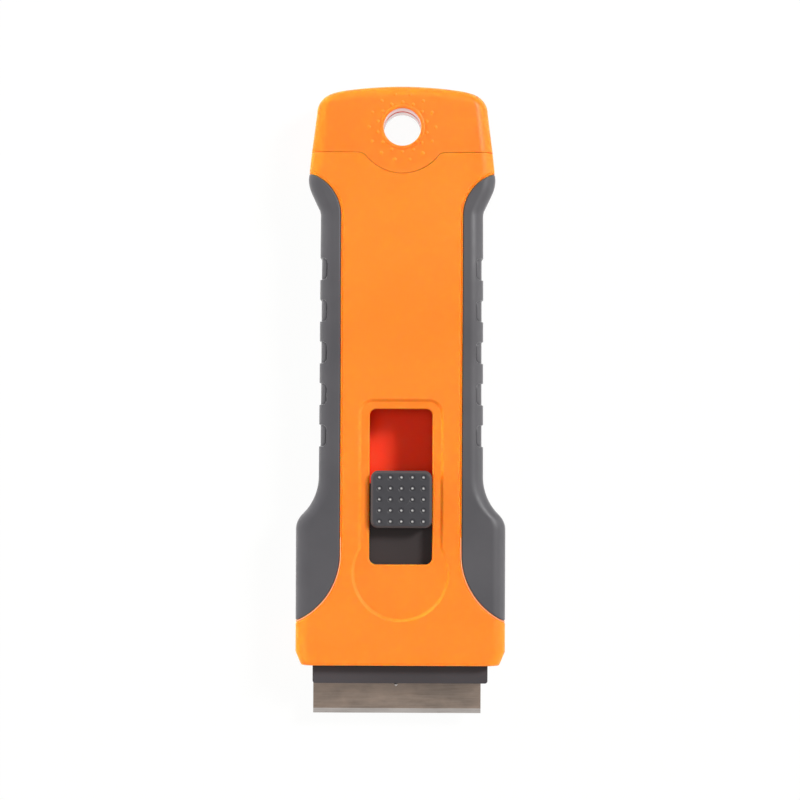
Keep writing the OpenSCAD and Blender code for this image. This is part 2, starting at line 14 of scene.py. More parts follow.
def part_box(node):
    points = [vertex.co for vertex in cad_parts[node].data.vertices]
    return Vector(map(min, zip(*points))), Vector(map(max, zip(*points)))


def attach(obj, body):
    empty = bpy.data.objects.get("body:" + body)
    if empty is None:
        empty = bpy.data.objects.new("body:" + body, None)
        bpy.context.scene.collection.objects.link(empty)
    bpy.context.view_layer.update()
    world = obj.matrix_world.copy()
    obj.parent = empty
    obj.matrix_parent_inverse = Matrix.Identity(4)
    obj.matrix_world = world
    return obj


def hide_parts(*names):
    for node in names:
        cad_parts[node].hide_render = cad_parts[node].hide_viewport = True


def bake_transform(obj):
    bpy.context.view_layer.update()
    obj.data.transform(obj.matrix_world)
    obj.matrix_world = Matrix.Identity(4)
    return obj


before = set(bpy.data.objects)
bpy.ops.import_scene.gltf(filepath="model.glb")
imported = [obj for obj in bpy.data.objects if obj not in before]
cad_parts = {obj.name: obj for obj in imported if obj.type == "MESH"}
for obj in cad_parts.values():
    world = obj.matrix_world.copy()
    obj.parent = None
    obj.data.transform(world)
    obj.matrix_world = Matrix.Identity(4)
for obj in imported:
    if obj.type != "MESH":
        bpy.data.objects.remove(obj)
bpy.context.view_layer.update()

MM = 0.001

# Handle outline, with heights counted from the mouth
HANDLE_LEN = 131.9
MOUTH_W = 47.8
WAIST_W = 37.5
WAIST_TAPER = 0.5
SHOULDER_W = 42.6
CAP_W = 38.9
FLARE_Y = 30.9
FLARE_LEN = 12.15
SHOULDER_LEN = 8.4
SHOULDER_RISE = 6.1
FLARE_RADII = (0.72, 0.28)
SHOULDER_RADII = (0.25, 0.55)
CHAMFER_W = 1.3
CHAMFER_H = 3.1
CORNER_R = 3.9
TOP_R = 90.0
THICK = 16.0
SWELL = 1.2
EDGE_R = 3.2
MOUTH_EDGE = 0.8
END_R = 2.6
WALL = 2.6

# Grips
GRIP_X = 13.9
GRIP_SIDE = 1.8
GRIP_FACE = 1.2
GRIP_LOW_R = 16.6
GRIP_LOW_Y = 25.4
GRIP_TOP_R = 9.9
GRIP_TOP_DROP = 8.3
NOTCH_N = 5
NOTCH_PITCH = 9.48
NOTCH_LEN = 4.93
NOTCH_DEPTH = 0.36
NOTCH_WRAP = 1.6
NOTCH_Y = 49.82
NOTCH_CORNER = 1.1
NOTCH_SOFT = 0.14
NOTCH_STEPS = (-0.5, -0.15, -0.08, 0, 0.08, 0.15, 0.3, 0.5, 0.75, 1.1)
GRIP_LIP = 0.32
GRIP_SEAM = 0.5
LIP_TURN = math.pi / 2.3

# Ditch along a notch's edge: depth, half-width, and where from the side it begins and fades in
NOTCH_DITCH = 0.24
DITCH_HALF = 0.2
DITCH_FROM = 0.3
DITCH_FADE = 0.5

# Bead of the shells along the grips: up to where its painted highlight reaches, and how far its
# faces are from the path
BEAD_TOP = 30.0
BEAD_STEP = 0.15
BEAD_REACH = 0.36
BEAD_LOW = -0.12

# Cap, slot, recess and chambers
CAP_H = 15.1
HOLE_DROP = 9.4
HOLE_R = 4.25
RIM_W = 0.8
RIM_H = 0.2
RIM_ROOT = 0.5
RIM_FOOT = [(0.15, -0.5), (0.15, -0.02), (0, 0.04)]
RIM_EDGE = [(0.1, 0.04), (0.22, 0)]
DOT_RINGS = [(5.65, 0.0), (7.55, 0.5)]
DOT_N = 14
DOT_R = 0.4
DOT_H = 0.14
DOT_FACE = 0.1
DOT_FOOT = 0.03
DOME_ROOT = 0.1
DIP_R = 10.45
DIP_BLEND = 2.3
CAP_SEAM = 0.09
CAP_LIP = 0.14
SEAM_D = 0.3
SEAM_HALF = 0.02
BORE_EDGE = 0.3
BORE_LINE = 0.9
BORE_LINE_FLOOR = 0.85
BORE_LINE_D = 0.3
BORE_LINE_REACH = 0.35
PLUG_LEN = 3.7
PLUG_WALL = 1.6
PLUG_ROOM = 0.3
SLOT_W = 14.3
SLOT_R = 1.5
SLOT_Y0 = 23.0
SLOT_Y1 = 58.4
SLOT_EASE = 0.35
RECESS_D = 0.6
RECESS_W = 18.7
RECESS_TOP = 60.4
RECESS_R = 3.0
RECESS_EASE = 0.42
REST_R = 10.85
REST_Y = 21.2
STORE_X = 14.7
CHAMBER_X = 20.3
CHAMBER_Y1 = 29.5

# Carriage, blade and button
BLADE_W = 38.6
BLADE_H = 19.0
BLADE_T = 0.25
BEVEL_H = 1.1
BLADE_OUT = 7.4
BAR_OUT = 4.3
BLADE_SHIFT = 0.7
BLADE_Z = 6.0
EDGE_HALF = 0.02
PEG_R = 1.0
PEG_UP = 12.3
PEG_ROOM = 0.2
BUTTON_Y = 37.9
BUTTON_W = 13.9
BUTTON_SHIFT = 0.12
BUTTON_L = 13.0
BUTTON_R = 1.7
BUTTON_Z0 = 14.5
BUTTON_Z1 = 17.4
BUTTON_FOOT = 0.15
BUTTON_BAND = 0.6
BUTTON_BAND_LOW = 0.45
BUTTON_BAND_HIGH = 0.02
BUTTON_RIM = [(0, 0.6), (0.03, 0.5), (0.12, 0.36), (0.5, 0.04), (0.62, 0)]
BUMP_N = 5
BUMP_PITCH = 2.5
BUMP_R = 0.42
BUMP_H = 0.3
DIMPLE_D = 0.14
DIMPLE_FLAT = 0.05
TIP_GLINT_FROM = 0.14
STEM_W = 10.0
STEM_L = 5.4
STEM_Y = 36.7
LEG_T = 1.8
BARB = 1.3
FLANGE_T = 1.5
LEG_Z0 = 9.1
LEG_ROOT = 0.5
LOCK_X = 8.95
LOCK_HALF = 1.1
LOCK_UP = 1.1
LOCK_PLACES = (-7.9, 0, 13.5)
DECK_X = 8.1
DECK_Y0 = 9.0
DECK_Y1 = 33.2
DECK_Z = 11.9
DECK_BAR_Y = 0.4
PIP = (-0.95, -5.15)
PIP_R = 0.44
PIP_H = 0.34
LEAF_Y0 = 21.3
LEAF_Y1 = 34.0
LEAF_PARTS = 12

# Screws, and the rails of the spare-blade store
BOSS_R = 2.3
BOSS_ROOT = 0.4
SCREW_R = 1.3
SCREW_HEAD_R = 2.35
SCREW_SINK = 1.8
SINK_EASE = 0.3
RAIL_X = 11.35
RAIL_T = 1.2
RAIL_H = 3.5
LOW_SCREW = (11.6, 35.0)

# Heights and places that follow from these
MID_Y = (HANDLE_LEN - BAR_OUT - BLADE_OUT) / 2
WAIST_Y0 = FLARE_Y + FLARE_LEN
CAP_Y = HANDLE_LEN - CAP_H
SHOULDER_Y1 = CAP_Y - SHOULDER_RISE
SHOULDER_Y0 = SHOULDER_Y1 - SHOULDER_LEN
CORNER_Y = HANDLE_LEN - CORNER_R
HOLE_Y = HANDLE_LEN - HOLE_DROP
WAIST_TOP_W = WAIST_W - WAIST_TAPER
SWELL_Y0 = SLOT_Y1 + 4.6
SWELL_Y1 = SHOULDER_Y1 + 1.6
GRIP_TOP_Y = SHOULDER_Y1 - GRIP_TOP_DROP
RECESS_Z = THICK - RECESS_D
CEILING_Z = THICK - WALL
PARTING_Z = THICK / 2
TOP_SCREW = (14.0, SHOULDER_Y1 - 0.7)
THREAD_Z = CEILING_Z - 0.6
BULKHEAD_Y0 = SLOT_Y1 + 2.6
BULKHEAD_Y1 = BULKHEAD_Y0 + 2
NECK_Y = WAIST_Y0 - FLARE_LEN / 3
PLUG_X = STORE_X - PLUG_ROOM
PLUG_Y = CAP_Y - PLUG_LEN
PLUG_Z0 = WALL + PLUG_ROOM
PLUG_Z1 = CEILING_Z - PLUG_ROOM
PLUG_SIDE_Y = CAP_Y - 0.3
PLUG_SIDE_Z0 = 3.0
PLUG_SIDE_Z1 = CEILING_Z - 0.4

# Further than any part of the object, for cutting tools
FAR = 60
# How near a wall a face has to lie to be taken as part of it
NEAR = 0.05

# Looks, in metres: how far light goes into the orange plastic
DEPTH_OF_GLOW = 0.0008

# Studio
WORLD_LIGHT = 0.14
# Name, place, target, width and height in millimetres, watts, and whether gloss reflects the lamp
LAMPS = [("key", (889, 563, 1125), (0, 0, 0), (300, 420), 23.5, True),
         ("front", (-60, 60, 1500), (0, 0, 0), (420, 420), 7.0, False),
         ("left_strip", (-1050, 450, 110), (0, 0, 0), (900, 140), 20.0, False),
         ("right_strip", (1100, 60, 50), (0, 0, 0), (900, 60), 2.5, True),
         ("low_strip", (0, -1100, 60), (0, 0, 0), (900, 100), 5.0, False)]
FLOOR_DROP = -0.02
FLOOR_HALF = 3000
FLOOR_GLOW = 0.955
FLOOR_PAPER = (0.9, 0.9, 0.895, 1)
FLOOR_WHITE = (1, 1, 0.995, 1)
LENS_MM = 125.7
SENSOR_MM = 36
CAMERA_MM = (-0.28, 0.37, 650.5)
CAMERA_ROLL = 0.25


# ---------------------------------------------------------------- outline of the handle
def s_step(t, length, step, radii):
    """How far an S of an arc, a straight and an arc has stepped aside at t of its length."""
    both = (length * length + step * step) / (2 * step)
    r1 = radii[0] * both
    r2 = radii[1] * both
    beyond = step - r1 - r2
    a = math.asin(min(1, (r1 + r2) / math.hypot(length, beyond))) + math.atan2(beyond, length)
    if t <= 0:
        return 0
    if t >= length:
        return step
    if t < r1 * math.sin(a):
        return r1 - math.sqrt(r1 * r1 - t * t)
    if t > length - r2 * math.sin(a):
        return step - r2 + math.sqrt(r2 * r2 - (length - t) ** 2)
    return r1 * (1 - math.cos(a)) + (t - r1 * math.sin(a)) * math.tan(a)


def half_w(y):
    """Half-width of the outline at a height."""
    if y < CHAMFER_H:
        return MOUTH_W / 2 - CHAMFER_W * (1 - y / CHAMFER_H)
    if y < WAIST_Y0:
        return WAIST_W / 2 + s_step(WAIST_Y0 - y, FLARE_LEN, (MOUTH_W - WAIST_W) / 2, FLARE_RADII)
    if y < SHOULDER_Y0:
        return WAIST_W / 2 - WAIST_TAPER / 2 * (y - WAIST_Y0) / (SHOULDER_Y0 - WAIST_Y0)
    if y < SHOULDER_Y1:
        step = (SHOULDER_W - WAIST_TOP_W) / 2
        return WAIST_TOP_W / 2 + s_step(y - SHOULDER_Y0, SHOULDER_LEN, step, SHOULDER_RADII)
    if y < CORNER_Y:
        narrower = (SHOULDER_W - CAP_W) / 2 * (y - SHOULDER_Y1) / (CORNER_Y - SHOULDER_Y1)
        return SHOULDER_W / 2 - narrower
    return CAP_W / 2 - CORNER_R + math.sqrt(max(0, CORNER_R ** 2 - (y - CORNER_Y) ** 2))


def draw_in(r, t):
    """How far an edge rounded with radius r is drawn in at a depth t below it."""
    return 0 if t >= r else r - math.sqrt(max(0, r * r - (r - t) ** 2))


def end_in(y):
    """How far the rounded ends draw the surface in at a height."""
    return draw_in(MOUTH_EDGE, y) + draw_in(END_R, HANDLE_LEN - y)


def front_z(y):
    """Front of the handle at a height, with the swell for the palm."""
    if SWELL_Y0 < y < SWELL_Y1:
        return THICK + SWELL * math.sin(math.pi * (y - SWELL_Y0) / (SWELL_Y1 - SWELL_Y0)) ** 2
    return THICK


def bow(y):
    """Share of the top edge's bow that a height has."""
    return max(0, min(1, (y - CAP_Y) / (CORNER_Y - CAP_Y)))


def arc(cx, cy, r, a0, a1, steps):
    """Points on an arc, angles in degrees, each with its outward direction."""
    points = []
    for i in range(steps + 1):
        a = math.radians(a0 + (a1 - a0) * i / steps)
        points.append((cx + r * math.cos(a), cy + r * math.sin(a), math.cos(a), math.sin(a)))
    return points


def section(w, lo, hi, r, flats, turns):
    """Points and normals of a rounded cross-section, counter-clockwise from the right side."""
    right = arc(w - r, hi - r, r, 0, 90, turns)
    left = arc(r - w, hi - r, r, 90, 180, turns)
    left_low = arc(r - w, lo + r, r, 180, 270, turns)
    right_low = arc(w - r, lo + r, r, 270, 360, turns)

    def across(p, q, z, up):
        return [(p[0] + (q[0] - p[0]) * i / flats, z, 0, up) for i in range(1, flats)]
    return (right + across(right[-1], left[0], hi, 1) + left
            + left_low + across(left_low[-1], right_low[0], lo, -1) + right_low)


def no_press(inset, y):
    return 0


def ring_faces(rings, size, closed=False):
    """Quads between rings of size points each, and from the last ring to the first if closed."""
    faces = []
    for i in range(rings if closed else rings - 1):
        after = (i + 1) % rings
        for k in range(size):
            beside = (k + 1) % size
            faces.append((i * size + k, i * size + beside, after * size + beside, after * size + k))
    return faces


def loft(name, ys, side=0.0, face=0.0, flats=1, press=no_press, turns=12):
    """Solid through the sections at ys, set in by side and face, and pressed in by press()."""
    verts = []
    for y in ys:
        w = half_w(y) - side
        hi = front_z(y) - face - end_in(y)
        lo = face + end_in(y)
        for x, z, nx, nz in section(w, lo, hi, EDGE_R - min(side, face), flats, turns):
            d = press(w - abs(x), y)
            verts.append((x - nx * d, y - bow(y) * x * x / (2 * TOP_R), z - nz * d))
    size = len(verts) // len(ys)
    half = size // 2
    last = (len(ys) - 1) * size
    faces = ring_faces(len(ys), size)
    for k in range(half - 1):
        m = size - 1 - k
        faces.append((k, m, m - 1, k + 1))
        faces.append((last + k, last + k + 1, last + m - 1, last + m))
    return mesh(name, verts, faces)


def steps(y0, y1, n):
    return [y0 + (y1 - y0) * i / n for i in range(n + 1)]


def sorted_heights(*groups):
    """All heights in rising order, without any two that nearly coincide."""
    ys = []
    for y in sorted(y for group in groups for y in group):
        if not ys or y - ys[-1] > 1e-3:
            ys.append(y)
    return ys


MOUTH_YS = [MOUTH_EDGE * (1 - math.cos(math.radians(a))) for a in range(0, 91, 15)]
SIDE_YS = (steps(CHAMFER_H, FLARE_Y, 6) + steps(FLARE_Y, WAIST_Y0, 24)
           + steps(WAIST_Y0, SWELL_Y0, 8) + steps(SWELL_Y0, SHOULDER_Y0, 24)
           + steps(SHOULDER_Y0, SHOULDER_Y1, 18) + [SWELL_Y1])
HANDLE_YS = sorted_heights(MOUTH_YS, SIDE_YS, [CAP_Y + 1])
CORE_YS = sorted_heights([CHAMFER_H + 1], [y for y in SIDE_YS if y > CHAMFER_H + 1], [CAP_Y - 1])
END_YS = sorted_heights([SWELL_Y1 - 0.9, CAP_Y], steps(CAP_Y, CORNER_Y, 8),
                        [CORNER_Y + CORNER_R * math.sin(math.radians(a)) for a in range(0, 91, 6)])


# ---------------------------------------------------------------- mesh tools
def new_object(name, data):
    """Object for a mesh, a lamp or a camera, put in the scene."""
    obj = bpy.data.objects.new(name, data)
    bpy.context.scene.collection.objects.link(obj)
    return obj


def from_bmesh(name, work):
    """Object with the mesh that was worked on."""
    data = bpy.data.meshes.new(name)
    work.to_mesh(data)
    work.free()
    return new_object(name, data)


def mesh(name, verts, faces):
    """Object from points and faces, with equal points joined and all faces looking outwards."""
    data = bpy.data.meshes.new(name)
    data.from_pydata([Vector(v) for v in verts], [], faces)
    work = bmesh.new()
    work.from_mesh(data)
    bmesh.ops.remove_doubles(work, verts=work.verts, dist=1e-5)
    bmesh.ops.recalc_face_normals(work, faces=work.faces)
    work.to_mesh(data)
    work.free()
    return new_object(name, data)


def combine(obj, others, operation):
    """Applies one boolean after the other, and removes the objects used for it."""
    for other in others:
        modifier = obj.modifiers.new("combine", "BOOLEAN")
        modifier.operation = operation
        modifier.solver = "MANIFOLD"
        modifier.object = other
        apply_modifiers(obj)
        bpy.data.objects.remove(other)
    return obj


def cut(obj, *others):
    return combine(obj, others, "DIFFERENCE")


def add(obj, *others):
    return combine(obj, others, "UNION")


def keep(obj, *others):
    return combine(obj, others, "INTERSECT")


def apply_modifiers(obj):
    graph = bpy.context.evaluated_depsgraph_get()
    result = bpy.data.meshes.new_from_object(obj.evaluated_get(graph))
    obj.modifiers.clear()
    old = obj.data
    obj.data = result
    bpy.data.meshes.remove(old)


def stack(name, outline, profile):
    """Solid whose cross-section at each z of the profile is the outline grown by that offset."""
    verts = []
    for offset, z in profile:
        verts += [(x, y, z) for x, y in outline(offset)]
    size = len(verts) // len(profile)
    ends = [tuple(range(size - 1, -1, -1)), tuple(range(len(verts) - size, len(verts)))]
    return mesh(name, verts, ends + ring_faces(len(profile), size))


def prism(points, z0, z1):
    return stack("prism", lambda offset: points, [(0, z0), (0, z1)])


def box(x0, x1, y0, y1, z0, z1):
    return prism([(x0, y0), (x1, y0), (x1, y1), (x0, y1)], z0, z1)


def bar(x, y0, y1, z0, z1):
    """Box that reaches as far to the left as to the right."""
    return box(-x, x, y0, y1, z0, z1)


def circle(cx, cy, r, n=72):
    turns = [2 * math.pi * i / n for i in range(n)]
    return [(cx + r * math.cos(a), cy + r * math.sin(a)) for a in turns]


def disc(cx, cy, r, z0, z1, n=48):
    return prism(circle(cx, cy, r, n), z0, z1)


def rounded(cx, cy, w, h, r, n=10):
    """Rounded rectangle as a function of how far it is grown."""
    def outline(offset):
        rr = r + offset
        points = []
        for sx, sy, a0 in ((1, 1, 0), (-1, 1, 90), (-1, -1, 180), (1, -1, 270)):
            x = cx + sx * (w / 2 - r)
            y = cy + sy * (h / 2 - r)
            points += [(p[0], p[1]) for p in arc(x, y, rr, a0, a0 + 90, n)]
        return points
    return outline


def round_over(r, z, n=5):
    """Profile of a rounded upper edge at height z, from the wall outwards."""
    turns = [math.radians(90 * i / n) for i in range(n + 1)]
    return [(r - r * math.cos(a), z - r + r * math.sin(a)) for a in turns]


def mirrored(obj):
    """Copy of a mesh on the other side of the middle."""
    other = obj.copy()
    other.data = obj.data.copy()
    bpy.context.scene.collection.objects.link(other)
    other.data.transform(Matrix.Scale(-1, 4, (1, 0, 0)))
    other.data.flip_normals()
    return other


def groove(path, profile):
    """Closed tube that sweeps a profile of (aside, up) along points with surface normals."""
    n = len(path)
    verts = []
    for i in range(n):
        p, up = path[i]
        along = (path[(i + 1) % n][0] - path[i - 1][0]).normalized()
        aside = along.cross(up).normalized()
        up = aside.cross(along)
        verts += [p + aside * a + up * u for a, u in profile]
    return mesh("groove", verts, ring_faces(n, len(profile), closed=True))


def lips(radius, depth, n=5):
    """Profile of a groove that leaves two rounded lips of that radius, and is open above."""
    turns = steps(0, LIP_TURN, n)
    side = [(radius * (1 - math.sin(a)), -radius * (1 - math.cos(a))) for a in turns]
    side.append((SEAM_HALF, -depth))
    left = [(-x, y) for x, y in reversed(side)]
    return [(radius, radius)] + side + left + [(-radius, radius)]


def skin_point(x, y, back=False):
    """Point of the handle's surface over (x, y) and its normal, on the front or the back."""
    inner = half_w(y) - EDGE_R
    top = 0 if back else front_z(y)
    d = max(0.0, min(1.0, (abs(x) - inner) / EDGE_R))
    fall = EDGE_R * (1 - math.sqrt(1 - d * d))
    out = math.copysign(d, x)
    up = math.sqrt(1 - d * d)
    if back:
        return Vector((x, y, top + fall)), Vector((out, 0, -up))
    return Vector((x, y, top - fall)), Vector((out, 0, up))


def wrapped(curve):
    """Closed path over the front, down one side, over the back and up the other side."""
    front = [skin_point(x, y) for x, y in curve]
    back = [skin_point(x, y, back=True) for x, y in reversed(curve)]

    def down(p, q):
        return [(p[0].lerp(q[0], t), p[1].lerp(q[1], 0.5).normalized()) for t in (0.25, 0.5, 0.75)]
    return front + down(front[-1], back[0]) + back + down(back[-1], front[0])


# ---------------------------------------------------------------- regions of the handle
def cap_line(grown=0.0):
    """Parting line of the cap from left to right, grown towards the handle."""
    r = DIP_R + grown
    f = DIP_BLEND - grown
    fx = math.sqrt((DIP_R + DIP_BLEND) ** 2 - (HOLE_Y - CAP_Y + DIP_BLEND) ** 2)
    fy = CAP_Y - DIP_BLEND
    a = math.degrees(math.atan2(HOLE_Y - fy, fx))
    dip = [(p[0], p[1]) for p in arc(0, HOLE_Y, r, a - 180, -a, 40)]
    right = [(p[0], p[1]) for p in arc(fx, fy, f, 180 - a, 90, 8)]
    left = [(-x, y) for x, y in reversed(right)]
    return left + dip[1:-1] + right


def cap_outline(grown):
    y = CAP_Y - grown
    return [(-FAR, HANDLE_LEN + 5), (-FAR, y)] + cap_line(grown) + [(FAR, y), (FAR, HANDLE_LEN + 5)]


def grip_line():
    """Inner boundary of the right grip, from its lower end to its upper end."""
    low = arc(GRIP_X + GRIP_LOW_R, GRIP_LOW_Y, GRIP_LOW_R, 270, 180, 48)
    top = arc(GRIP_X + GRIP_TOP_R, GRIP_TOP_Y, GRIP_TOP_R, 180, 90, 36)
    straight = [(GRIP_X, y) for y in steps(GRIP_LOW_Y, GRIP_TOP_Y, 40)[1:-1]]
    return [(p[0], p[1]) for p in low] + straight + [(p[0], p[1]) for p in top]


def grip_prism():
    line = grip_line()
    return prism(line + [(FAR, line[-1][1]), (FAR, line[0][1])], -1, THICK + 5)


def grip_path():
    """Where the right grip's boundary runs round the handle."""
    curve = [(x, y) for x, y in grip_line() if x < half_w(y) - 0.02]
    first, last = curve[0], curve[-1]
    y0 = GRIP_LOW_Y - math.sqrt(GRIP_LOW_R ** 2 - (GRIP_X + GRIP_LOW_R - half_w(first[1])) ** 2)
    y1 = GRIP_TOP_Y + math.sqrt(GRIP_TOP_R ** 2 - (GRIP_X + GRIP_TOP_R - half_w(last[1])) ** 2)
    return wrapped([(half_w(y0), y0)] + curve + [(half_w(y1), y1)])


def cap_path():
    """Where the cap's parting line runs round the handle."""
    w = half_w(CAP_Y)
    side = [(w - EDGE_R + EDGE_R * math.sin(math.radians(a)), CAP_Y) for a in range(0, 91, 9)]
    left = [(-x, y) for x, y in reversed(side)]
    return wrapped(left + cap_line(CAP_SEAM / 2) + side)


# ---------------------------------------------------------------- looks and riding
def place(obj, name, body, slot, materials, *nodes, angle=32):
    """Moves a finished piece to the row frame, shades it and ties it to its body."""
    obj.name = name
    obj.data.name = name
    obj.data.transform(Matrix.Scale(MM, 4) @ Matrix.Translation((0, -MID_Y, 0)))
    dress(obj, materials, angle)
    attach(obj, body)
    if nodes:
        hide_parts(*nodes)
    return obj


def dress(obj, materials, angle=32):
    """Gives a mesh its materials and smooth shading, with flats kept flat by weighted normals."""
    indices = [p.material_index for p in obj.data.polygons]
    obj.data.materials.clear()
    for material in materials:
        obj.data.materials.append(material)
    for p, index in zip(obj.data.polygons, indices):
        p.use_smooth = True
        p.material_index = min(index, len(materials) - 1)
    obj.data.set_sharp_from_angle(angle=math.radians(angle))
    weighted = obj.modifiers.new("weighted", "WEIGHTED_NORMAL")
    weighted.keep_sharp = True


def mark(obj, index, inside):
    """Gives the faces whose middle fulfils inside() a material of their own."""
    for p in obj.data.polygons:
        p.material_index = index if inside(p.center) else 0


# ---------------------------------------------------------------- handle
def chambers():
    """Hollows for the carriage and for the tray of spares."""
    room = prism([(-CHAMBER_X, -1), (CHAMBER_X, -1), (CHAMBER_X, CHAMBER_Y1), (STORE_X, NECK_Y),
                  (STORE_X, BULKHEAD_Y0), (-STORE_X, BULKHEAD_Y0), (-STORE_X, NECK_Y),
                  (-CHAMBER_X, CHAMBER_Y1)], WALL, CEILING_Z)
    store = bar(STORE_X, BULKHEAD_Y1, CAP_Y + 5, WALL, CEILING_Z)
    return [room, store]


def grip_pocket():
    """What the shells leave out for the right grip."""
    pocket = grip_prism()
    return cut(pocket, loft("core", CORE_YS, GRIP_SIDE, GRIP_FACE))


def shell_wall():
    """Both shells in one, hollow and with their seams."""
    wall = loft("wall", HANDLE_YS)
    pocket = grip_pocket()
    other = mirrored(pocket)
    cut(wall, pocket, other, prism(cap_outline(CAP_SEAM), -1, THICK + 5), *chambers())
    seams = [groove(grip_path(), bead_profile()), groove(cap_path(), lips(CAP_LIP, SEAM_D))]
    seams.append(mirrored(seams[0]))
    return cut(wall, *seams)


def bead_profile():
    """Profile that leaves a fine bead between two grooves along the grip, on the shell's side."""
    gap = [(GRIP_LIP, GRIP_LIP), (GRIP_LIP, -GRIP_SEAM), (-SEAM_HALF, -GRIP_SEAM)]
    bead = [(-0.1, -0.2), (-0.14, -0.07), (-0.2, -0.03), (-0.26, -0.03), (-0.32, -0.07)]
    groove_outside = [(-0.4, -0.22), (-0.48, -0.18), (-0.6, -0.03), (-0.68, 0.0), (-0.68, GRIP_LIP)]
    return gap + bead + groove_outside


def mark_bead_highlights(obj, index):
    """Gives the beads along the low arcs of both grips a paler material of their own, a painted
    highlight.
    """
    path = grip_path()
    points = []
    for i in range(len(path)):
        p, up = path[i - 1]
        q = path[i][0]
        count = 1 + int((q - p).length / BEAD_STEP)
        points += [(p.lerp(q, k / count), up) for k in range(count)]
    tree = KDTree(len(points))
    for i, (p, up) in enumerate(points):
        tree.insert(p, i)
    tree.balance()
    for face in obj.data.polygons:
        if face.center.y > BEAD_TOP:
            continue
        centre = Vector((abs(face.center.x), face.center.y, face.center.z))
        p, i, away = tree.find(centre)
        if away < BEAD_REACH and (centre - p).dot(points[i][1]) > BEAD_LOW:
            face.material_index = index


def screw_places():
    return [(sx * x, y) for sx in (1, -1) for x, y in (LOW_SCREW, TOP_SCREW)]


def inside_handle(point):
    """Whether a point lies on the walls of the chambers."""
    x, y, z = abs(point.x), point.y, point.z
    return WALL - NEAR < z < CEILING_Z + NEAR and x < CHAMBER_X + NEAR and y > 0.4


def recess_slope(n=10):
    """Profile from the floor of the recess up to the front, as a soft S."""
    return [(RECESS_EASE * (2 * i / n - 1), RECESS_Z + RECESS_D * smooth(i / n))
            for i in range(n + 1)]


def front_shell(plastic, inner, bead_highlight):
    shell = shell_wall()
    shell = cut(shell, box(-FAR, FAR, -1, HANDLE_LEN, -1, PARTING_Z))
    add(shell, *[disc(x, y, BOSS_R, PARTING_Z, CEILING_Z + BOSS_ROOT) for x, y in screw_places()])
    profile = recess_slope() + [(RECESS_EASE, THICK + 2)]
    rest = stack("rest", lambda grown: circle(0, REST_Y, REST_R + grown, 120), profile)
    outline = rounded(0, (REST_Y + RECESS_TOP) / 2, RECESS_W, RECESS_TOP - REST_Y, RECESS_R)
    recess = stack("recess", outline, profile)
    profile = [(0, CEILING_Z - 1)] + round_over(SLOT_EASE, RECESS_Z) + [(SLOT_EASE, THICK + 2)]
    outline = rounded(0, (SLOT_Y0 + SLOT_Y1) / 2, SLOT_W, SLOT_Y1 - SLOT_Y0, SLOT_R)
    slot = stack("slot", outline, profile)
    notches = [bar(LOCK_X, STEM_Y + y - LOCK_HALF, STEM_Y + y + LOCK_HALF, CEILING_Z - 1,
                   CEILING_Z + LOCK_UP) for y in LOCK_PLACES]
    holes = [disc(x, y, SCREW_R, PARTING_Z - 1, THREAD_Z) for x, y in screw_places()]
    cut(shell, rest, recess, slot, *notches, *holes)
    # The chambers' walls take the painted shade material: a redder, darker orange for the shade and
    # red inter-reflection inside the handle.
    mark(shell, 1, inside_handle)
    # The beads along the low arcs take a paler orange, a painted highlight.
    mark_bead_highlights(shell, 2)
    return place(shell, "front_shell_moulding", "handle", "shell_plastic",
                 [plastic, inner, bead_highlight], "front_shell")


def back_shell(plastic, inner, bead_highlight):
    shell = shell_wall()
    shell = cut(shell, box(-FAR, FAR, -1, HANDLE_LEN, PARTING_Z, THICK + 5))
    add(shell, *[disc(x, y, BOSS_R, WALL - BOSS_ROOT, PARTING_Z) for x, y in screw_places()])
    rails = [box(x, x + RAIL_T, BULKHEAD_Y1 - BOSS_ROOT, TOP_SCREW[1] - BOSS_R - 1,
                 WALL - BOSS_ROOT, WALL + RAIL_H) for x in (RAIL_X, -RAIL_X - RAIL_T)]
    add(shell, *rails)
    profile = [(SINK_EASE, -1), (SINK_EASE, 0), (0, SINK_EASE), (0, SCREW_SINK)]
    sinks = [stack("sink", lambda grown, x=x, y=y: circle(x, y, SCREW_HEAD_R + grown, 48), profile)
             for x, y in screw_places()]
    holes = [disc(x, y, SCREW_R, 0, PARTING_Z + 1) for x, y in screw_places()]
    cut(shell, *sinks, *holes)
    # The chambers' walls take the painted shade material: a redder, darker orange for the shade and
    # red inter-reflection inside the handle.
    mark(shell, 1, inside_handle)
    # The beads along the low arcs take a paler orange, a painted highlight.
    mark_bead_highlights(shell, 2)
    return place(shell, "back_shell_moulding", "handle", "shell_plastic",
                 [plastic, inner, bead_highlight], "back_shell")


# ---------------------------------------------------------------- grips
def smooth(t):
    """Soft step from 0 to 1."""
    t = max(0.0, min(1.0, t))
    return t * t * (3 - 2 * t)


def notch_press(inset, y):
    """How deep the finger notches press in, at a distance from the side and a height."""
    if y < NOTCH_Y - 1 or y > NOTCH_Y + NOTCH_N * NOTCH_PITCH:
        return 0
    nearest = min(range(NOTCH_N), key=lambda i: abs(y - NOTCH_Y - i * NOTCH_PITCH - NOTCH_LEN / 2))
    off_middle = abs(y - NOTCH_Y - nearest * NOTCH_PITCH - NOTCH_LEN / 2)
    away_y = off_middle - (NOTCH_LEN / 2 - NOTCH_CORNER)
    away_x = inset - (NOTCH_WRAP - NOTCH_CORNER)
    outside = math.hypot(max(0, away_x), max(0, away_y))
    beyond = outside + min(0, max(away_x, away_y)) - NOTCH_CORNER
    ditch = NOTCH_DITCH * max(0, 1 - abs(beyond + DITCH_HALF) / DITCH_HALF)
    fade = smooth((inset - DITCH_FROM) / DITCH_FADE)
    return NOTCH_DEPTH * smooth(0.5 - beyond / NOTCH_SOFT) + ditch * fade


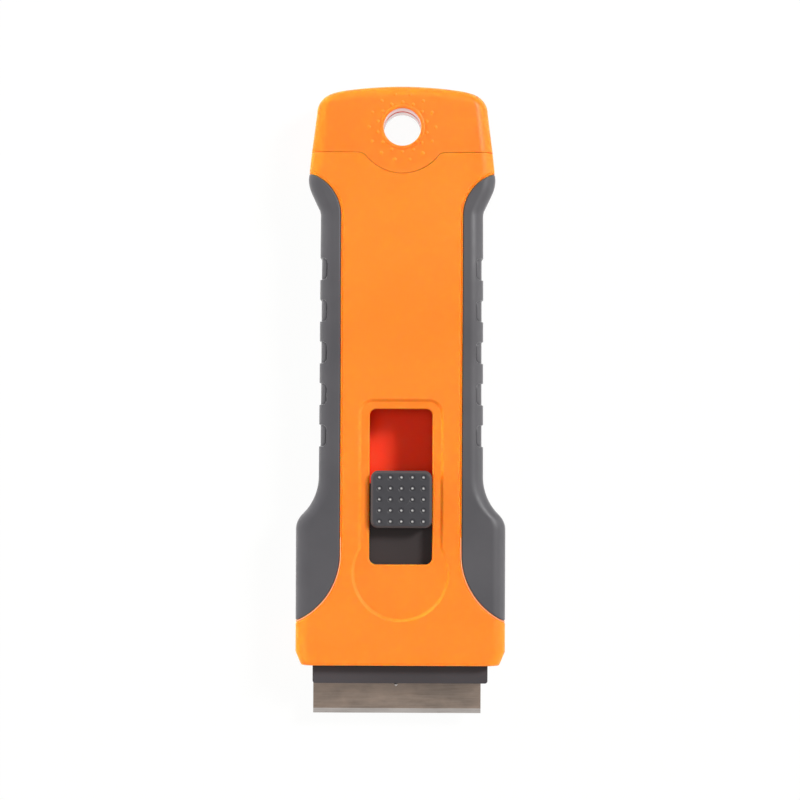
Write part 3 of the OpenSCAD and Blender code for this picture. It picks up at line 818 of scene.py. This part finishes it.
def notch_heights():
    """Heights of the grip's cross-sections at and between the notches."""
    ys = []
    for i in range(NOTCH_N):
        y0 = NOTCH_Y + i * NOTCH_PITCH
        y1 = y0 + NOTCH_LEN
        for edge, way in ((y0, 1), (y1, -1)):
            ys += [edge + way * t for t in NOTCH_STEPS]
        ys += steps(y0 + NOTCH_CORNER, y1 - NOTCH_CORNER, 4)
    return ys


def grip(material, name, node, left):
    ys = sorted_heights([y for y in HANDLE_YS if y < NOTCH_Y - 1], notch_heights(),
                        [y for y in HANDLE_YS if y > SHOULDER_Y0 - 8])
    strip = loft(name, ys, press=notch_press, turns=36)
    keep(strip, grip_prism())
    core = loft("core", CORE_YS, GRIP_SIDE, GRIP_FACE)
    cut(strip, core, groove(grip_path(), lips(GRIP_LIP, GRIP_SEAM)))
    if left:
        other = mirrored(strip)
        bpy.data.objects.remove(strip)
        strip = other
    return place(strip, name, "handle", "grip_rubber", [material], node, angle=40)


# ---------------------------------------------------------------- end cap
def lathe(name, cx, cy, profile, n=96):
    """Solid of revolution about an upright axis: profile is a closed loop of (radius, z)."""
    verts = [(cx + r * math.cos(2 * math.pi * i / n), cy + r * math.sin(2 * math.pi * i / n), z)
             for i in range(n) for r, z in profile]
    return mesh(name, verts, ring_faces(n, len(profile), closed=True))


def dome(cx, cy, z, r, h, n=16, rings=4):
    """Low dome that stands on z, with a short root below it."""
    verts = [(cx, cy, z + h)]
    for k in range(1, rings + 1):
        a = math.radians(90 * k / rings)
        verts += [(x, y, z + h * math.cos(a)) for x, y in circle(cx, cy, r * math.sin(a), n)]
    verts += [(x, y, z - DOME_ROOT) for x, y in circle(cx, cy, r, n)]
    faces = [(0, 1 + i, 1 + (i + 1) % n) for i in range(n)]
    for k in range(rings):
        for i in range(n):
            a = 1 + k * n + i
            b = 1 + k * n + (i + 1) % n
            faces.append((a, a + n, b + n, b))
    faces.append(tuple(range(1 + rings * n, 1 + (rings + 1) * n)))
    return mesh("dome", verts, faces)


def joined(objects):
    """One object from several whose solids don't touch."""
    work = bmesh.new()
    for obj in objects:
        work.from_mesh(obj.data)
    for obj in objects:
        bpy.data.objects.remove(obj)
    return from_bmesh("joined", work)


def cap_dots():
    """The two rings of low dots round the hanging hole."""
    dots = []
    for ring_r, turn in DOT_RINGS:
        for i in range(DOT_N):
            a = math.radians(90 + (turn + i) * 360 / DOT_N)
            x = ring_r * math.cos(a)
            y = HOLE_Y + ring_r * math.sin(a)
            dots.append(dome(x, y, THICK - draw_in(END_R, HANDLE_LEN - y), DOT_R, DOT_H))
    return joined(dots)


def rim_profile():
    """Closed profile of the raised rim round the hanging hole."""
    inner = HOLE_R - RIM_ROOT
    outer = HOLE_R + RIM_W
    top = THICK + RIM_H
    foot = [(outer + out, THICK + up) for out, up in RIM_FOOT]
    edge = [(outer - back, top - down) for back, down in RIM_EDGE]
    return [(inner, THICK - RIM_ROOT)] + foot + edge + [(inner, top)]


def bore_profile():
    """Profile of the hanging hole from back to front, with the parting groove in its wall."""
    top = THICK + RIM_H
    low = [(BORE_EDGE, -1), (BORE_EDGE, 0), (0.1, 0.1), (0, BORE_EDGE)]
    line = [(0, PARTING_Z - BORE_LINE), (BORE_LINE_D, PARTING_Z - BORE_LINE_FLOOR),
            (BORE_LINE_D, PARTING_Z + BORE_LINE_FLOOR), (0, PARTING_Z + BORE_LINE)]
    return low + line + round_over(BORE_EDGE, top) + [(BORE_EDGE, top + 1)]


def mark_cap(cap):
    """Numbers the materials: 1 painted shade on the plug and the groove, 2 painted highlight on the
    dots, 3 and 4 painted light on the front and back of the bore.
    """
    mark(cap, 1, lambda p: p.y < PLUG_SIDE_Y and PLUG_SIDE_Z0 < p.z < PLUG_SIDE_Z1)
    for p in cap.data.polygons:
        z = p.center.z
        away = math.hypot(p.center.x, p.center.y - HOLE_Y)
        # The bore's wall takes pale pink materials, painted light in the hole.
        if away < HOLE_R + NEAR and z < THICK - 0.1:
            p.material_index = 3 if z > PARTING_Z else 4
        # Painted shade: the groove in the bore takes the redder, darker material.
        if HOLE_R + NEAR < away < HOLE_R + BORE_LINE_REACH and abs(z - PARTING_Z) < 1:
            p.material_index = 1
        # The dots' tops take a paler orange, a painted highlight.
        on_ring = any(abs(away - ring_r) < DOT_R for ring_r, turn in DOT_RINGS)
        if on_ring and p.area < DOT_FACE and z > THICK + DOT_FOOT:
            p.material_index = 2


def end_cap(plastic, inner, dot_highlight, bore_front_glow, bore_back_glow):
    cap = loft("cap", END_YS, flats=16)
    keep(cap, prism(cap_outline(0), -1, THICK + 5))
    cut(cap, groove(cap_path(), lips(CAP_LIP, SEAM_D)), bar(FAR, 0, CAP_Y, PLUG_Z0, PLUG_Z1))
    plug = bar(PLUG_X, PLUG_Y, CAP_Y + 1, PLUG_Z0, PLUG_Z1)
    add(cap, plug, lathe("rim", 0, HOLE_Y, rim_profile()), cap_dots())
    hollow = bar(PLUG_X - PLUG_WALL, PLUG_Y - 1, HANDLE_LEN - END_R - 2,
                 PLUG_Z0 + PLUG_WALL, PLUG_Z1 - PLUG_WALL)
    cut(hollow, disc(0, HOLE_Y, HOLE_R + PLUG_WALL, 0, THICK, 72))
    bore = stack("bore", lambda grown: circle(0, HOLE_Y, HOLE_R + grown, 96), bore_profile())
    cut(cap, hollow, bore)
    mark_cap(cap)
    return place(cap, "end_cap_moulding", "cap", "cap_plastic",
                 [plastic, inner, dot_highlight, bore_front_glow, bore_back_glow], "end_cap")


# ---------------------------------------------------------------- button, carriage and blade
def bump_places():
    half = (BUMP_N - 1) / 2
    return [(BUTTON_SHIFT + (i - half) * BUMP_PITCH, BUTTON_Y + (j - half) * BUMP_PITCH)
            for i in range(BUMP_N) for j in range(BUMP_N)]


def dimple(x, y):
    """Shallow bowl round a bump."""
    low = BUTTON_Z1 - DIMPLE_D
    profile = [(0, low), (0.15, low + 0.04), (0.32, BUTTON_Z1), (0.4, BUTTON_Z1 + 0.1)]
    return stack("dimple", lambda grown: circle(x, y, BUMP_R + DIMPLE_FLAT + grown, 24), profile)


def on_rim_highlight(point):
    """Whether a point lies on the rounded edge round the button's top, which is painted paler as a
    highlight.
    """
    beside_x = abs(point.x - BUTTON_SHIFT) > BUTTON_W / 2 - BUTTON_BAND
    beside_y = abs(point.y - BUTTON_Y) > BUTTON_L / 2 - BUTTON_BAND
    at_height = BUTTON_Z1 - BUTTON_BAND_LOW < point.z < BUTTON_Z1 - BUTTON_BAND_HIGH
    return (beside_x or beside_y) and at_height


def thumb_button(material, edge):
    outline = rounded(BUTTON_SHIFT, BUTTON_Y, BUTTON_W, BUTTON_L, BUTTON_R)
    foot = [(-BUTTON_FOOT, BUTTON_Z0), (0, BUTTON_Z0 + BUTTON_FOOT)]
    pad = stack("pad", outline, foot + [(-o, BUTTON_Z1 - d) for o, d in BUTTON_RIM])
    cut(pad, joined([dimple(x, y) for x, y in bump_places()]))
    add(pad, joined([dome(x, y, BUTTON_Z1 - DIMPLE_D, BUMP_R, BUMP_H + DIMPLE_D)
                     for x, y in bump_places()]))
    y0 = STEM_Y - STEM_L / 2
    y1 = STEM_Y + STEM_L / 2
    for side in (1, -1):
        inner = side * (STEM_W / 2 - LEG_T)
        x0, x1 = sorted((inner, side * STEM_W / 2))
        b0, b1 = sorted((inner, side * (STEM_W / 2 + BARB)))
        leg = box(x0, x1, y0, y1, LEG_Z0, BUTTON_Z0 + LEG_ROOT)
        add(pad, leg, box(b0, b1, y0, y1, LEG_Z0, LEG_Z0 + FLANGE_T))
    # The rim takes a paler material, a painted highlight round the button's top.
    mark(pad, 1, on_rim_highlight)
    return place(pad, "thumb_button_pad", "button", "button_plastic",
                 [material, edge], "thumb_button", angle=40)


def blade(name, node, body, spot, materials):
    """Blade with its ground edge: spot takes a point of the flat blade to where the blade lies."""
    half = BLADE_T / 2
    section_yz = [(0, -EDGE_HALF), (BEVEL_H, -half), (BLADE_H, -half),
                  (BLADE_H, half), (BEVEL_H, half), (0, EDGE_HALF)]
    size = len(section_yz)
    verts = [(x, y, z) for x in (-BLADE_W / 2, BLADE_W / 2) for y, z in section_yz]
    faces = [(i, (i + 1) % size, (i + 1) % size + size, i + size) for i in range(size)]
    faces += [tuple(range(size)), tuple(range(2 * size - 1, size - 1, -1))]
    steel = mesh(name, verts, faces)
    cut(steel, *[disc(x, PEG_UP, PEG_R + PEG_ROOM, -1, 1) for x in (-BLADE_W / 2, BLADE_W / 2)])
    mark(steel, 1, lambda p: p.y < BEVEL_H)
    steel.data.transform(spot)
    return place(steel, name, body, "blade_steel", materials, node, angle=2)


def spare_spot(i):
    """Where spare blade number i lies in the tray, on its back along the handle."""
    box_low, box_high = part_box(f"spare_blade_{i}")
    x = box_low.x / MM
    y = (box_low.y + box_high.y) / 2 / MM + MID_Y
    z = (box_low.z + box_high.z) / 2 / MM
    return Matrix.Translation((x, y, z)) @ Matrix.Rotation(math.radians(-90), 4, "Z")


def softened(node, name, body, slot, materials, width, angle=40, hollows=()):
    """Copy of a CAD node with its sharp edges broken, which then replaces it.

    A second material goes on what stands out of the mouth, and the first, darker one is painted
    shade on what lies inside."""
    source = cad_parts[node]
    work = bmesh.new()
    work.from_mesh(source.data)
    bmesh.ops.scale(work, vec=(1 / MM, 1 / MM, 1 / MM), verts=work.verts)
    bmesh.ops.remove_doubles(work, verts=work.verts, dist=0.002)
    bmesh.ops.dissolve_limit(work, angle_limit=math.radians(1), verts=work.verts, edges=work.edges)
    bmesh.ops.translate(work, vec=(0, MID_Y, 0), verts=work.verts)
    obj = from_bmesh(name, work)
    if hollows:
        cut(obj, *hollows)
    bevel = obj.modifiers.new("edges", "BEVEL")
    bevel.width = width
    bevel.segments = 2
    bevel.limit_method = "ANGLE"
    bevel.angle_limit = math.radians(angle)
    apply_modifiers(obj)
    if len(materials) > 1:
        # What stands out of the mouth gets the paler material; the rest keeps the darker one,
        # painted shade.
        mark(obj, 1, lambda p: p.y < DECK_BAR_Y)
    return place(obj, name, body, slot, materials, node)


def leaf_spring(material):
    """Copy of the lock spring, cut across its leaf into strips, which then replaces it."""
    work = bmesh.new()
    work.from_mesh(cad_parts["lock_spring"].data)
    for y in steps(LEAF_Y0 - MID_Y, LEAF_Y1 - MID_Y, LEAF_PARTS):
        everything = work.verts[:] + work.edges[:] + work.faces[:]
        bmesh.ops.bisect_plane(work, geom=everything, plane_co=(0, y * MM, 0), plane_no=(0, 1, 0))
    obj = from_bmesh("lock_spring_leaf", work)
    dress(obj, [material])
    obj.modifiers.clear()
    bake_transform(obj)
    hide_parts("lock_spring")


# ---------------------------------------------------------------- materials
class Nodes:
    """Short calls for building one node material."""

    def __init__(self, name):
        self.material = bpy.data.materials.new(name)
        self.material.use_nodes = True
        self.tree = self.material.node_tree
        self.tree.nodes.clear()
        self.output = self.tree.nodes.new("ShaderNodeOutputMaterial")
        self.shader = self.tree.nodes.new("ShaderNodeBsdfPrincipled")
        self.link(self.shader.outputs[0], self.output.inputs[0])
        self.place = self.tree.nodes.new("ShaderNodeTexCoord").outputs["Object"]

    def link(self, a, b):
        self.tree.links.new(a, b)

    def value(self, name, value):
        self.shader.inputs[name].default_value = value

    def stretched(self, scale):
        node = self.tree.nodes.new("ShaderNodeMapping")
        node.inputs["Scale"].default_value = scale
        self.link(self.place, node.inputs["Vector"])
        return node.outputs[0]

    def noise(self, scale, detail=3.0, rough=0.5, vector=None):
        node = self.tree.nodes.new("ShaderNodeTexNoise")
        node.inputs["Scale"].default_value = scale
        node.inputs["Detail"].default_value = detail
        node.inputs["Roughness"].default_value = rough
        self.link(vector or self.place, node.inputs["Vector"])
        return node.outputs["Fac"]

    def remap(self, value, low, high, from_low=0.3, from_high=0.7):
        node = self.tree.nodes.new("ShaderNodeMapRange")
        node.inputs["From Min"].default_value = from_low
        node.inputs["From Max"].default_value = from_high
        node.inputs["To Min"].default_value = low
        node.inputs["To Max"].default_value = high
        self.link(value, node.inputs["Value"])
        return node.outputs[0]

    def mix(self, fac, a, b):
        node = self.tree.nodes.new("ShaderNodeMix")
        node.data_type = "RGBA"
        self.link(fac, node.inputs["Factor"])
        for socket, colour in ((node.inputs["A"], a), (node.inputs["B"], b)):
            if isinstance(colour, tuple):
                socket.default_value = (*colour, 1)
            else:
                self.link(colour, socket)
        return node.outputs["Result"]

    def bump(self, height, strength, distance, below=None):
        node = self.tree.nodes.new("ShaderNodeBump")
        node.inputs["Strength"].default_value = strength
        node.inputs["Distance"].default_value = distance
        self.link(height, node.inputs["Height"])
        if below:
            self.link(below, node.inputs["Normal"])
        return node.outputs[0]

    def set(self, name, output):
        self.link(output, self.shader.inputs[name])


def moulded_plastic(name, colour, deep, rough=0.4, grain=5200, strength=0.12, gloss=0.4, glow=0.0,
                    tint=(1.0, 1.0, 1.0)):
    """Satin moulded plastic: fine eroded grain, a slow sink-mark wave and a drift of colour."""
    n = Nodes(name)
    drift = n.remap(n.noise(38, 2), 0, 1)
    n.set("Base Color", n.mix(drift, colour, deep))
    n.value("Specular IOR Level", gloss)
    n.value("Specular Tint", (*tint, 1))
    n.value("Subsurface Weight", glow)
    n.value("Subsurface Radius", (1.0, 0.15, 0.04))
    n.value("Subsurface Scale", DEPTH_OF_GLOW)
    n.set("Roughness", n.remap(n.noise(900, 4, 0.6), rough - 0.05, rough + 0.07))
    wave = n.bump(n.noise(60, 1), 0.08, 0.0006)
    n.set("Normal", n.bump(n.noise(grain, 3, 0.6), strength, 0.00004, wave))
    return n.material


def button_plastic(name, colour, deep, tip_glint):
    """Dark moulded plastic whose raised tips are painted pale, a painted glint on the bumps."""
    n = Nodes(name)
    axes = n.tree.nodes.new("ShaderNodeSeparateXYZ")
    n.link(n.place, axes.inputs[0])
    # Painted glint: the colour turns pale on the bumps' tips, above this height.
    height = n.remap(axes.outputs[2], 0, 1, (BUTTON_Z1 + TIP_GLINT_FROM) * MM, (BUTTON_Z1 + BUMP_H) * MM)
    body = n.mix(n.remap(n.noise(80, 2), 0, 1), colour, deep)
    n.set("Base Color", n.mix(height, body, tip_glint))
    n.value("Specular IOR Level", 0.25)
    n.set("Roughness", n.remap(n.noise(900, 4, 0.6), 0.36, 0.48))
    n.set("Normal", n.bump(n.noise(4200, 3, 0.6), 0.16, 0.00004))
    return n.material


def soft_rubber(name, colour, deep):
    """Soft overmoulded plastic: matt, with a fine leathery grain and slightly paler places."""
    n = Nodes(name)
    n.set("Base Color", n.mix(n.remap(n.noise(85, 3), 0, 1), colour, deep))
    n.set("Roughness", n.remap(n.noise(420, 3), 0.4, 0.52))
    n.value("Specular IOR Level", 0.36)
    n.value("Sheen Weight", 0.3)
    n.value("Sheen Roughness", 0.4)
    n.set("Normal", n.bump(n.noise(3600, 4, 0.65), 0.22, 0.00005))
    return n.material


def blade_metal(name, colour, deep, light, rough=0.38, streak=0.35):
    """Rolled blade steel: faint streaks along the blade and blotches of brownish tarnish."""
    n = Nodes(name)
    streaks = n.noise(1, 4, 0.6, n.stretched((120, 4200, 4200)))
    stain = n.noise(1, 4, 0.6, n.stretched((120, 260, 260)))
    base = n.mix(n.remap(stain, 0, 1, 0.35, 0.65), colour, deep)
    base = n.mix(n.remap(streaks, 0, streak), base, light)
    n.set("Base Color", base)
    n.value("Metallic", 1.0)
    n.set("Roughness", n.remap(streaks, rough - 0.05, rough + 0.08))
    n.set("Normal", n.bump(streaks, 0.08, 0.00003))
    return n.material


def sheet_metal(name, colour, deep, rough):
    """Plain sheet or plated steel with a fine, slightly uneven finish."""
    n = Nodes(name)
    n.set("Base Color", n.mix(n.remap(n.noise(500, 4), 0, 1), colour, deep))
    n.value("Metallic", 1.0)
    n.set("Roughness", n.remap(n.noise(2400, 3), rough - 0.06, rough + 0.08))
    n.set("Normal", n.bump(n.noise(3000, 3), 0.1, 0.00003))
    return n.material


# ---------------------------------------------------------------- studio
def studio():
    """World, lamps and floor: plain light, and white where looked at directly."""
    scene = bpy.context.scene
    scene.view_settings.view_transform = "Standard"
    world = bpy.data.worlds.new("studio")
    scene.world = world
    world.use_nodes = True
    tree = world.node_tree
    tree.nodes.clear()
    paths = tree.nodes.new("ShaderNodeLightPath")
    seen = seen_directly(tree, paths)
    strength = tree.nodes.new("ShaderNodeMix")
    strength.inputs["A"].default_value = WORLD_LIGHT
    strength.inputs["B"].default_value = 1.0
    tree.links.new(seen, strength.inputs["Factor"])
    background = tree.nodes.new("ShaderNodeBackground")
    background.inputs["Color"].default_value = (1, 1, 1, 1)
    tree.links.new(strength.outputs["Result"], background.inputs["Strength"])
    output = tree.nodes.new("ShaderNodeOutputWorld")
    tree.links.new(background.outputs[0], output.inputs[0])
    for name, place_mm, aim_mm, size_mm, power, glossy in LAMPS:
        lamp(name, place_mm, aim_mm, size_mm, power, glossy)
    floor()


def seen_directly(tree, paths):
    """1 for camera, glossy and transmission rays, and 0 for the light that falls on the object."""
    total = paths.outputs["Is Camera Ray"]
    for name in ("Is Glossy Ray", "Is Transmission Ray"):
        node = tree.nodes.new("ShaderNodeMath")
        node.operation = "MAXIMUM"
        tree.links.new(total, node.inputs[0])
        tree.links.new(paths.outputs[name], node.inputs[1])
        total = node.outputs[0]
    return total


def aim(obj, at):
    direction = Vector(at) - obj.location
    obj.rotation_euler = direction.to_track_quat("-Z", "Y").to_euler()


def lamp(name, place_mm, aim_mm, size_mm, power, glossy):
    """Area lamp. Without glossy it lights but isn't reflected, as behind crossed polarisers."""
    data = bpy.data.lights.new(name, "AREA")
    data.shape = "RECTANGLE"
    data.size = size_mm[0] * MM
    data.size_y = size_mm[1] * MM
    data.energy = power
    obj = new_object(name, data)
    obj.location = Vector(place_mm) * MM
    obj.visible_glossy = glossy
    aim(obj, Vector(aim_mm) * MM)


def floor():
    """Sheet of paper under the part, white where it is looked at directly or reflected."""
    half = FLOOR_HALF
    corners = [(-half, -half, 0), (half, -half, 0), (half, half, 0), (-half, half, 0)]
    obj = mesh("floor", corners, [(0, 1, 2, 3)])
    obj.data.transform(Matrix.Scale(MM, 4) @ Matrix.Translation((0, 0, FLOOR_DROP)))
    if obj.data.polygons[0].normal.z < 0:
        obj.data.flip_normals()
    material = bpy.data.materials.new("studio_floor")
    material.use_nodes = True
    tree = material.node_tree
    tree.nodes.clear()
    paper = tree.nodes.new("ShaderNodeBsdfDiffuse")
    paper.inputs["Color"].default_value = FLOOR_PAPER
    glow = tree.nodes.new("ShaderNodeEmission")
    glow.inputs["Color"].default_value = FLOOR_WHITE
    paths = tree.nodes.new("ShaderNodeLightPath")
    share = tree.nodes.new("ShaderNodeMath")
    share.operation = "MULTIPLY"
    share.inputs[1].default_value = FLOOR_GLOW
    tree.links.new(seen_directly(tree, paths), share.inputs[0])
    blend = tree.nodes.new("ShaderNodeMixShader")
    tree.links.new(share.outputs[0], blend.inputs[0])
    tree.links.new(paper.outputs[0], blend.inputs[1])
    tree.links.new(glow.outputs[0], blend.inputs[2])
    output = tree.nodes.new("ShaderNodeOutputMaterial")
    tree.links.new(blend.outputs[0], output.inputs[0])
    obj.data.materials.append(material)


def camera():
    data = bpy.data.cameras.new("camera")
    data.lens = LENS_MM
    data.sensor_width = SENSOR_MM
    data.clip_start = 0.01
    data.clip_end = 20
    obj = new_object("camera", data)
    obj.location = Vector(CAMERA_MM) * MM
    obj.rotation_euler = (0, 0, math.radians(CAMERA_ROLL))
    bpy.context.scene.camera = obj


# ---------------------------------------------------------------- the whole part
def handle_and_cap():
    orange = moulded_plastic("orange_plastic", (1.0, 0.266, 0.023), (0.985, 0.249, 0.02),
                             gloss=0.13, glow=1.0)
    # Painted shade: redder, darker orange for the chambers' walls, the cap's plug and the bore's
    # groove, standing in for shade and red inter-reflection.
    painted_shade_orange = moulded_plastic("painted_shade_orange_plastic", (1.0, 0.07, 0.026), (0.98, 0.06, 0.023),
                             0.45, gloss=0.05, glow=1.0)
    cap_orange = moulded_plastic("cap_orange_plastic", (1.0, 0.24, 0.016), (0.985, 0.222, 0.013),
                                 gloss=0.2, glow=1.0)
    # Painted highlight: a slightly paler, smoother orange on the tops of the cap's dots.
    dot_highlight = moulded_plastic("dot_highlight_orange_plastic", (1.0, 0.252, 0.02), (1.0, 0.235, 0.017),
                             0.33, gloss=0.2)
    # Painted highlight: pale orange on the beads along the grips' low arcs.
    bead_highlight = moulded_plastic("bead_highlight_orange_plastic", (1.0, 0.45, 0.24), (0.96, 0.41, 0.21),
                           0.35, gloss=0.3)
    # Painted light and reflection: pale pink orange with pink-tinted gloss for the bore's front
    # half and paler still for its back half, standing in for light bounced up from the floor.
    bore_front_glow = moulded_plastic("bore_front_glow_plastic", (1.0, 0.5, 0.36), (1.0, 0.46, 0.33),
                           0.14, gloss=1.0, tint=(1.0, 0.25, 0.15))
    bore_back_glow = moulded_plastic("bore_back_glow_plastic", (1.0, 0.7, 0.6), (1.0, 0.67, 0.56),
                               0.12, gloss=0.6)
    rubber = soft_rubber("grip_soft_plastic", (0.067, 0.064, 0.069), (0.055, 0.053, 0.058))
    front_shell(orange, painted_shade_orange, bead_highlight)
    back_shell(orange, painted_shade_orange, bead_highlight)
    grip(rubber, "right_grip_moulding", "right_grip", left=False)
    grip(rubber, "left_grip_moulding", "left_grip", left=True)
    end_cap(cap_orange, painted_shade_orange, dot_highlight, bore_front_glow, bore_back_glow)


def button_and_carriage():
    # Painted shade: the carriage and clamp inside the handle take a darker copy of the bar's
    # plastic.
    carriage_shade = moulded_plastic("carriage_painted_shade_plastic", (0.044, 0.037, 0.037), (0.036, 0.03, 0.03),
                           0.42, gloss=0.1)
    # The button's last colour is the painted glint on its bumps' tips.
    pad = button_plastic("button_dark_plastic", (0.046, 0.045, 0.049), (0.037, 0.036, 0.04),
                         (0.42, 0.41, 0.4))
    bar_dark = moulded_plastic("bar_dark_plastic", (0.061, 0.056, 0.06), (0.051, 0.047, 0.05),
                               0.42, gloss=0.12)
    # Painted highlight: paler dark plastic on the rounded rim of the button's top.
    edge = moulded_plastic("button_rim_highlight_plastic", (0.07, 0.062, 0.063), (0.061, 0.053, 0.054),
                           0.5, gloss=0.12)
    thumb_button(pad, edge)
    above_deck = bar(DECK_X, DECK_Y0, DECK_Y1, DECK_Z, THICK)
    above_bar = bar(FAR, -BAR_OUT - 1, DECK_BAR_Y, DECK_Z, THICK)
    softened("blade_carriage", "carriage_moulding", "carriage", "carriage_plastic",
             [carriage_shade, bar_dark], 0.15, hollows=(above_deck, above_bar))
    softened("blade_clamp", "clamp_moulding", "carriage", "carriage_plastic",
             [carriage_shade, bar_dark], 0.12)


def tray_and_steel():
    """The tray, the blades, the leaf spring, the folded spines and the screws."""
    tray = moulded_plastic("tray_dark_plastic", (0.085, 0.083, 0.09), (0.075, 0.073, 0.08), 0.5)
    steel = blade_metal("blade_steel", (0.245, 0.186, 0.148), (0.155, 0.122, 0.1),
                        (0.31, 0.26, 0.225))
    ground = blade_metal("ground_steel", (0.4, 0.365, 0.345), (0.3, 0.27, 0.25),
                         (0.5, 0.47, 0.45), 0.3, 0.5)
    folded = sheet_metal("spine_steel", (0.45, 0.45, 0.46), (0.36, 0.36, 0.37), 0.4)
    sprung = sheet_metal("spring_steel", (0.52, 0.52, 0.53), (0.42, 0.42, 0.43), 0.32)
    zinc = sheet_metal("screw_zinc", (0.55, 0.55, 0.57), (0.44, 0.44, 0.46), 0.35)
    softened("blade_tray", "tray_moulding", "cap", "tray_plastic", [tray], 0.15)

    at_work = Matrix.Translation((-BLADE_SHIFT, -BAR_OUT - BLADE_OUT, BLADE_Z))
    blade("blade_plate", "scraper_blade", "carriage", at_work, [steel, ground])
    pip = dome(PIP[0], PIP[1], BLADE_Z + BLADE_T / 2, PIP_R, PIP_H)
    place(pip, "blade_pip", "carriage", "blade_steel", [ground])
    leaf_spring(sprung)
    finishes = {"blade_spine": folded, "shell_screws": zinc}
    for i in range(1, 5):
        blade(f"spare_plate_{i}", f"spare_blade_{i}", "cap", spare_spot(i), [steel, ground])
        finishes[f"spare_spine_{i}"] = folded
    for node, material in finishes.items():
        dress(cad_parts[node], [material])


def main():
    handle_and_cap()
    button_and_carriage()
    tray_and_steel()
    camera()
    studio()


main()
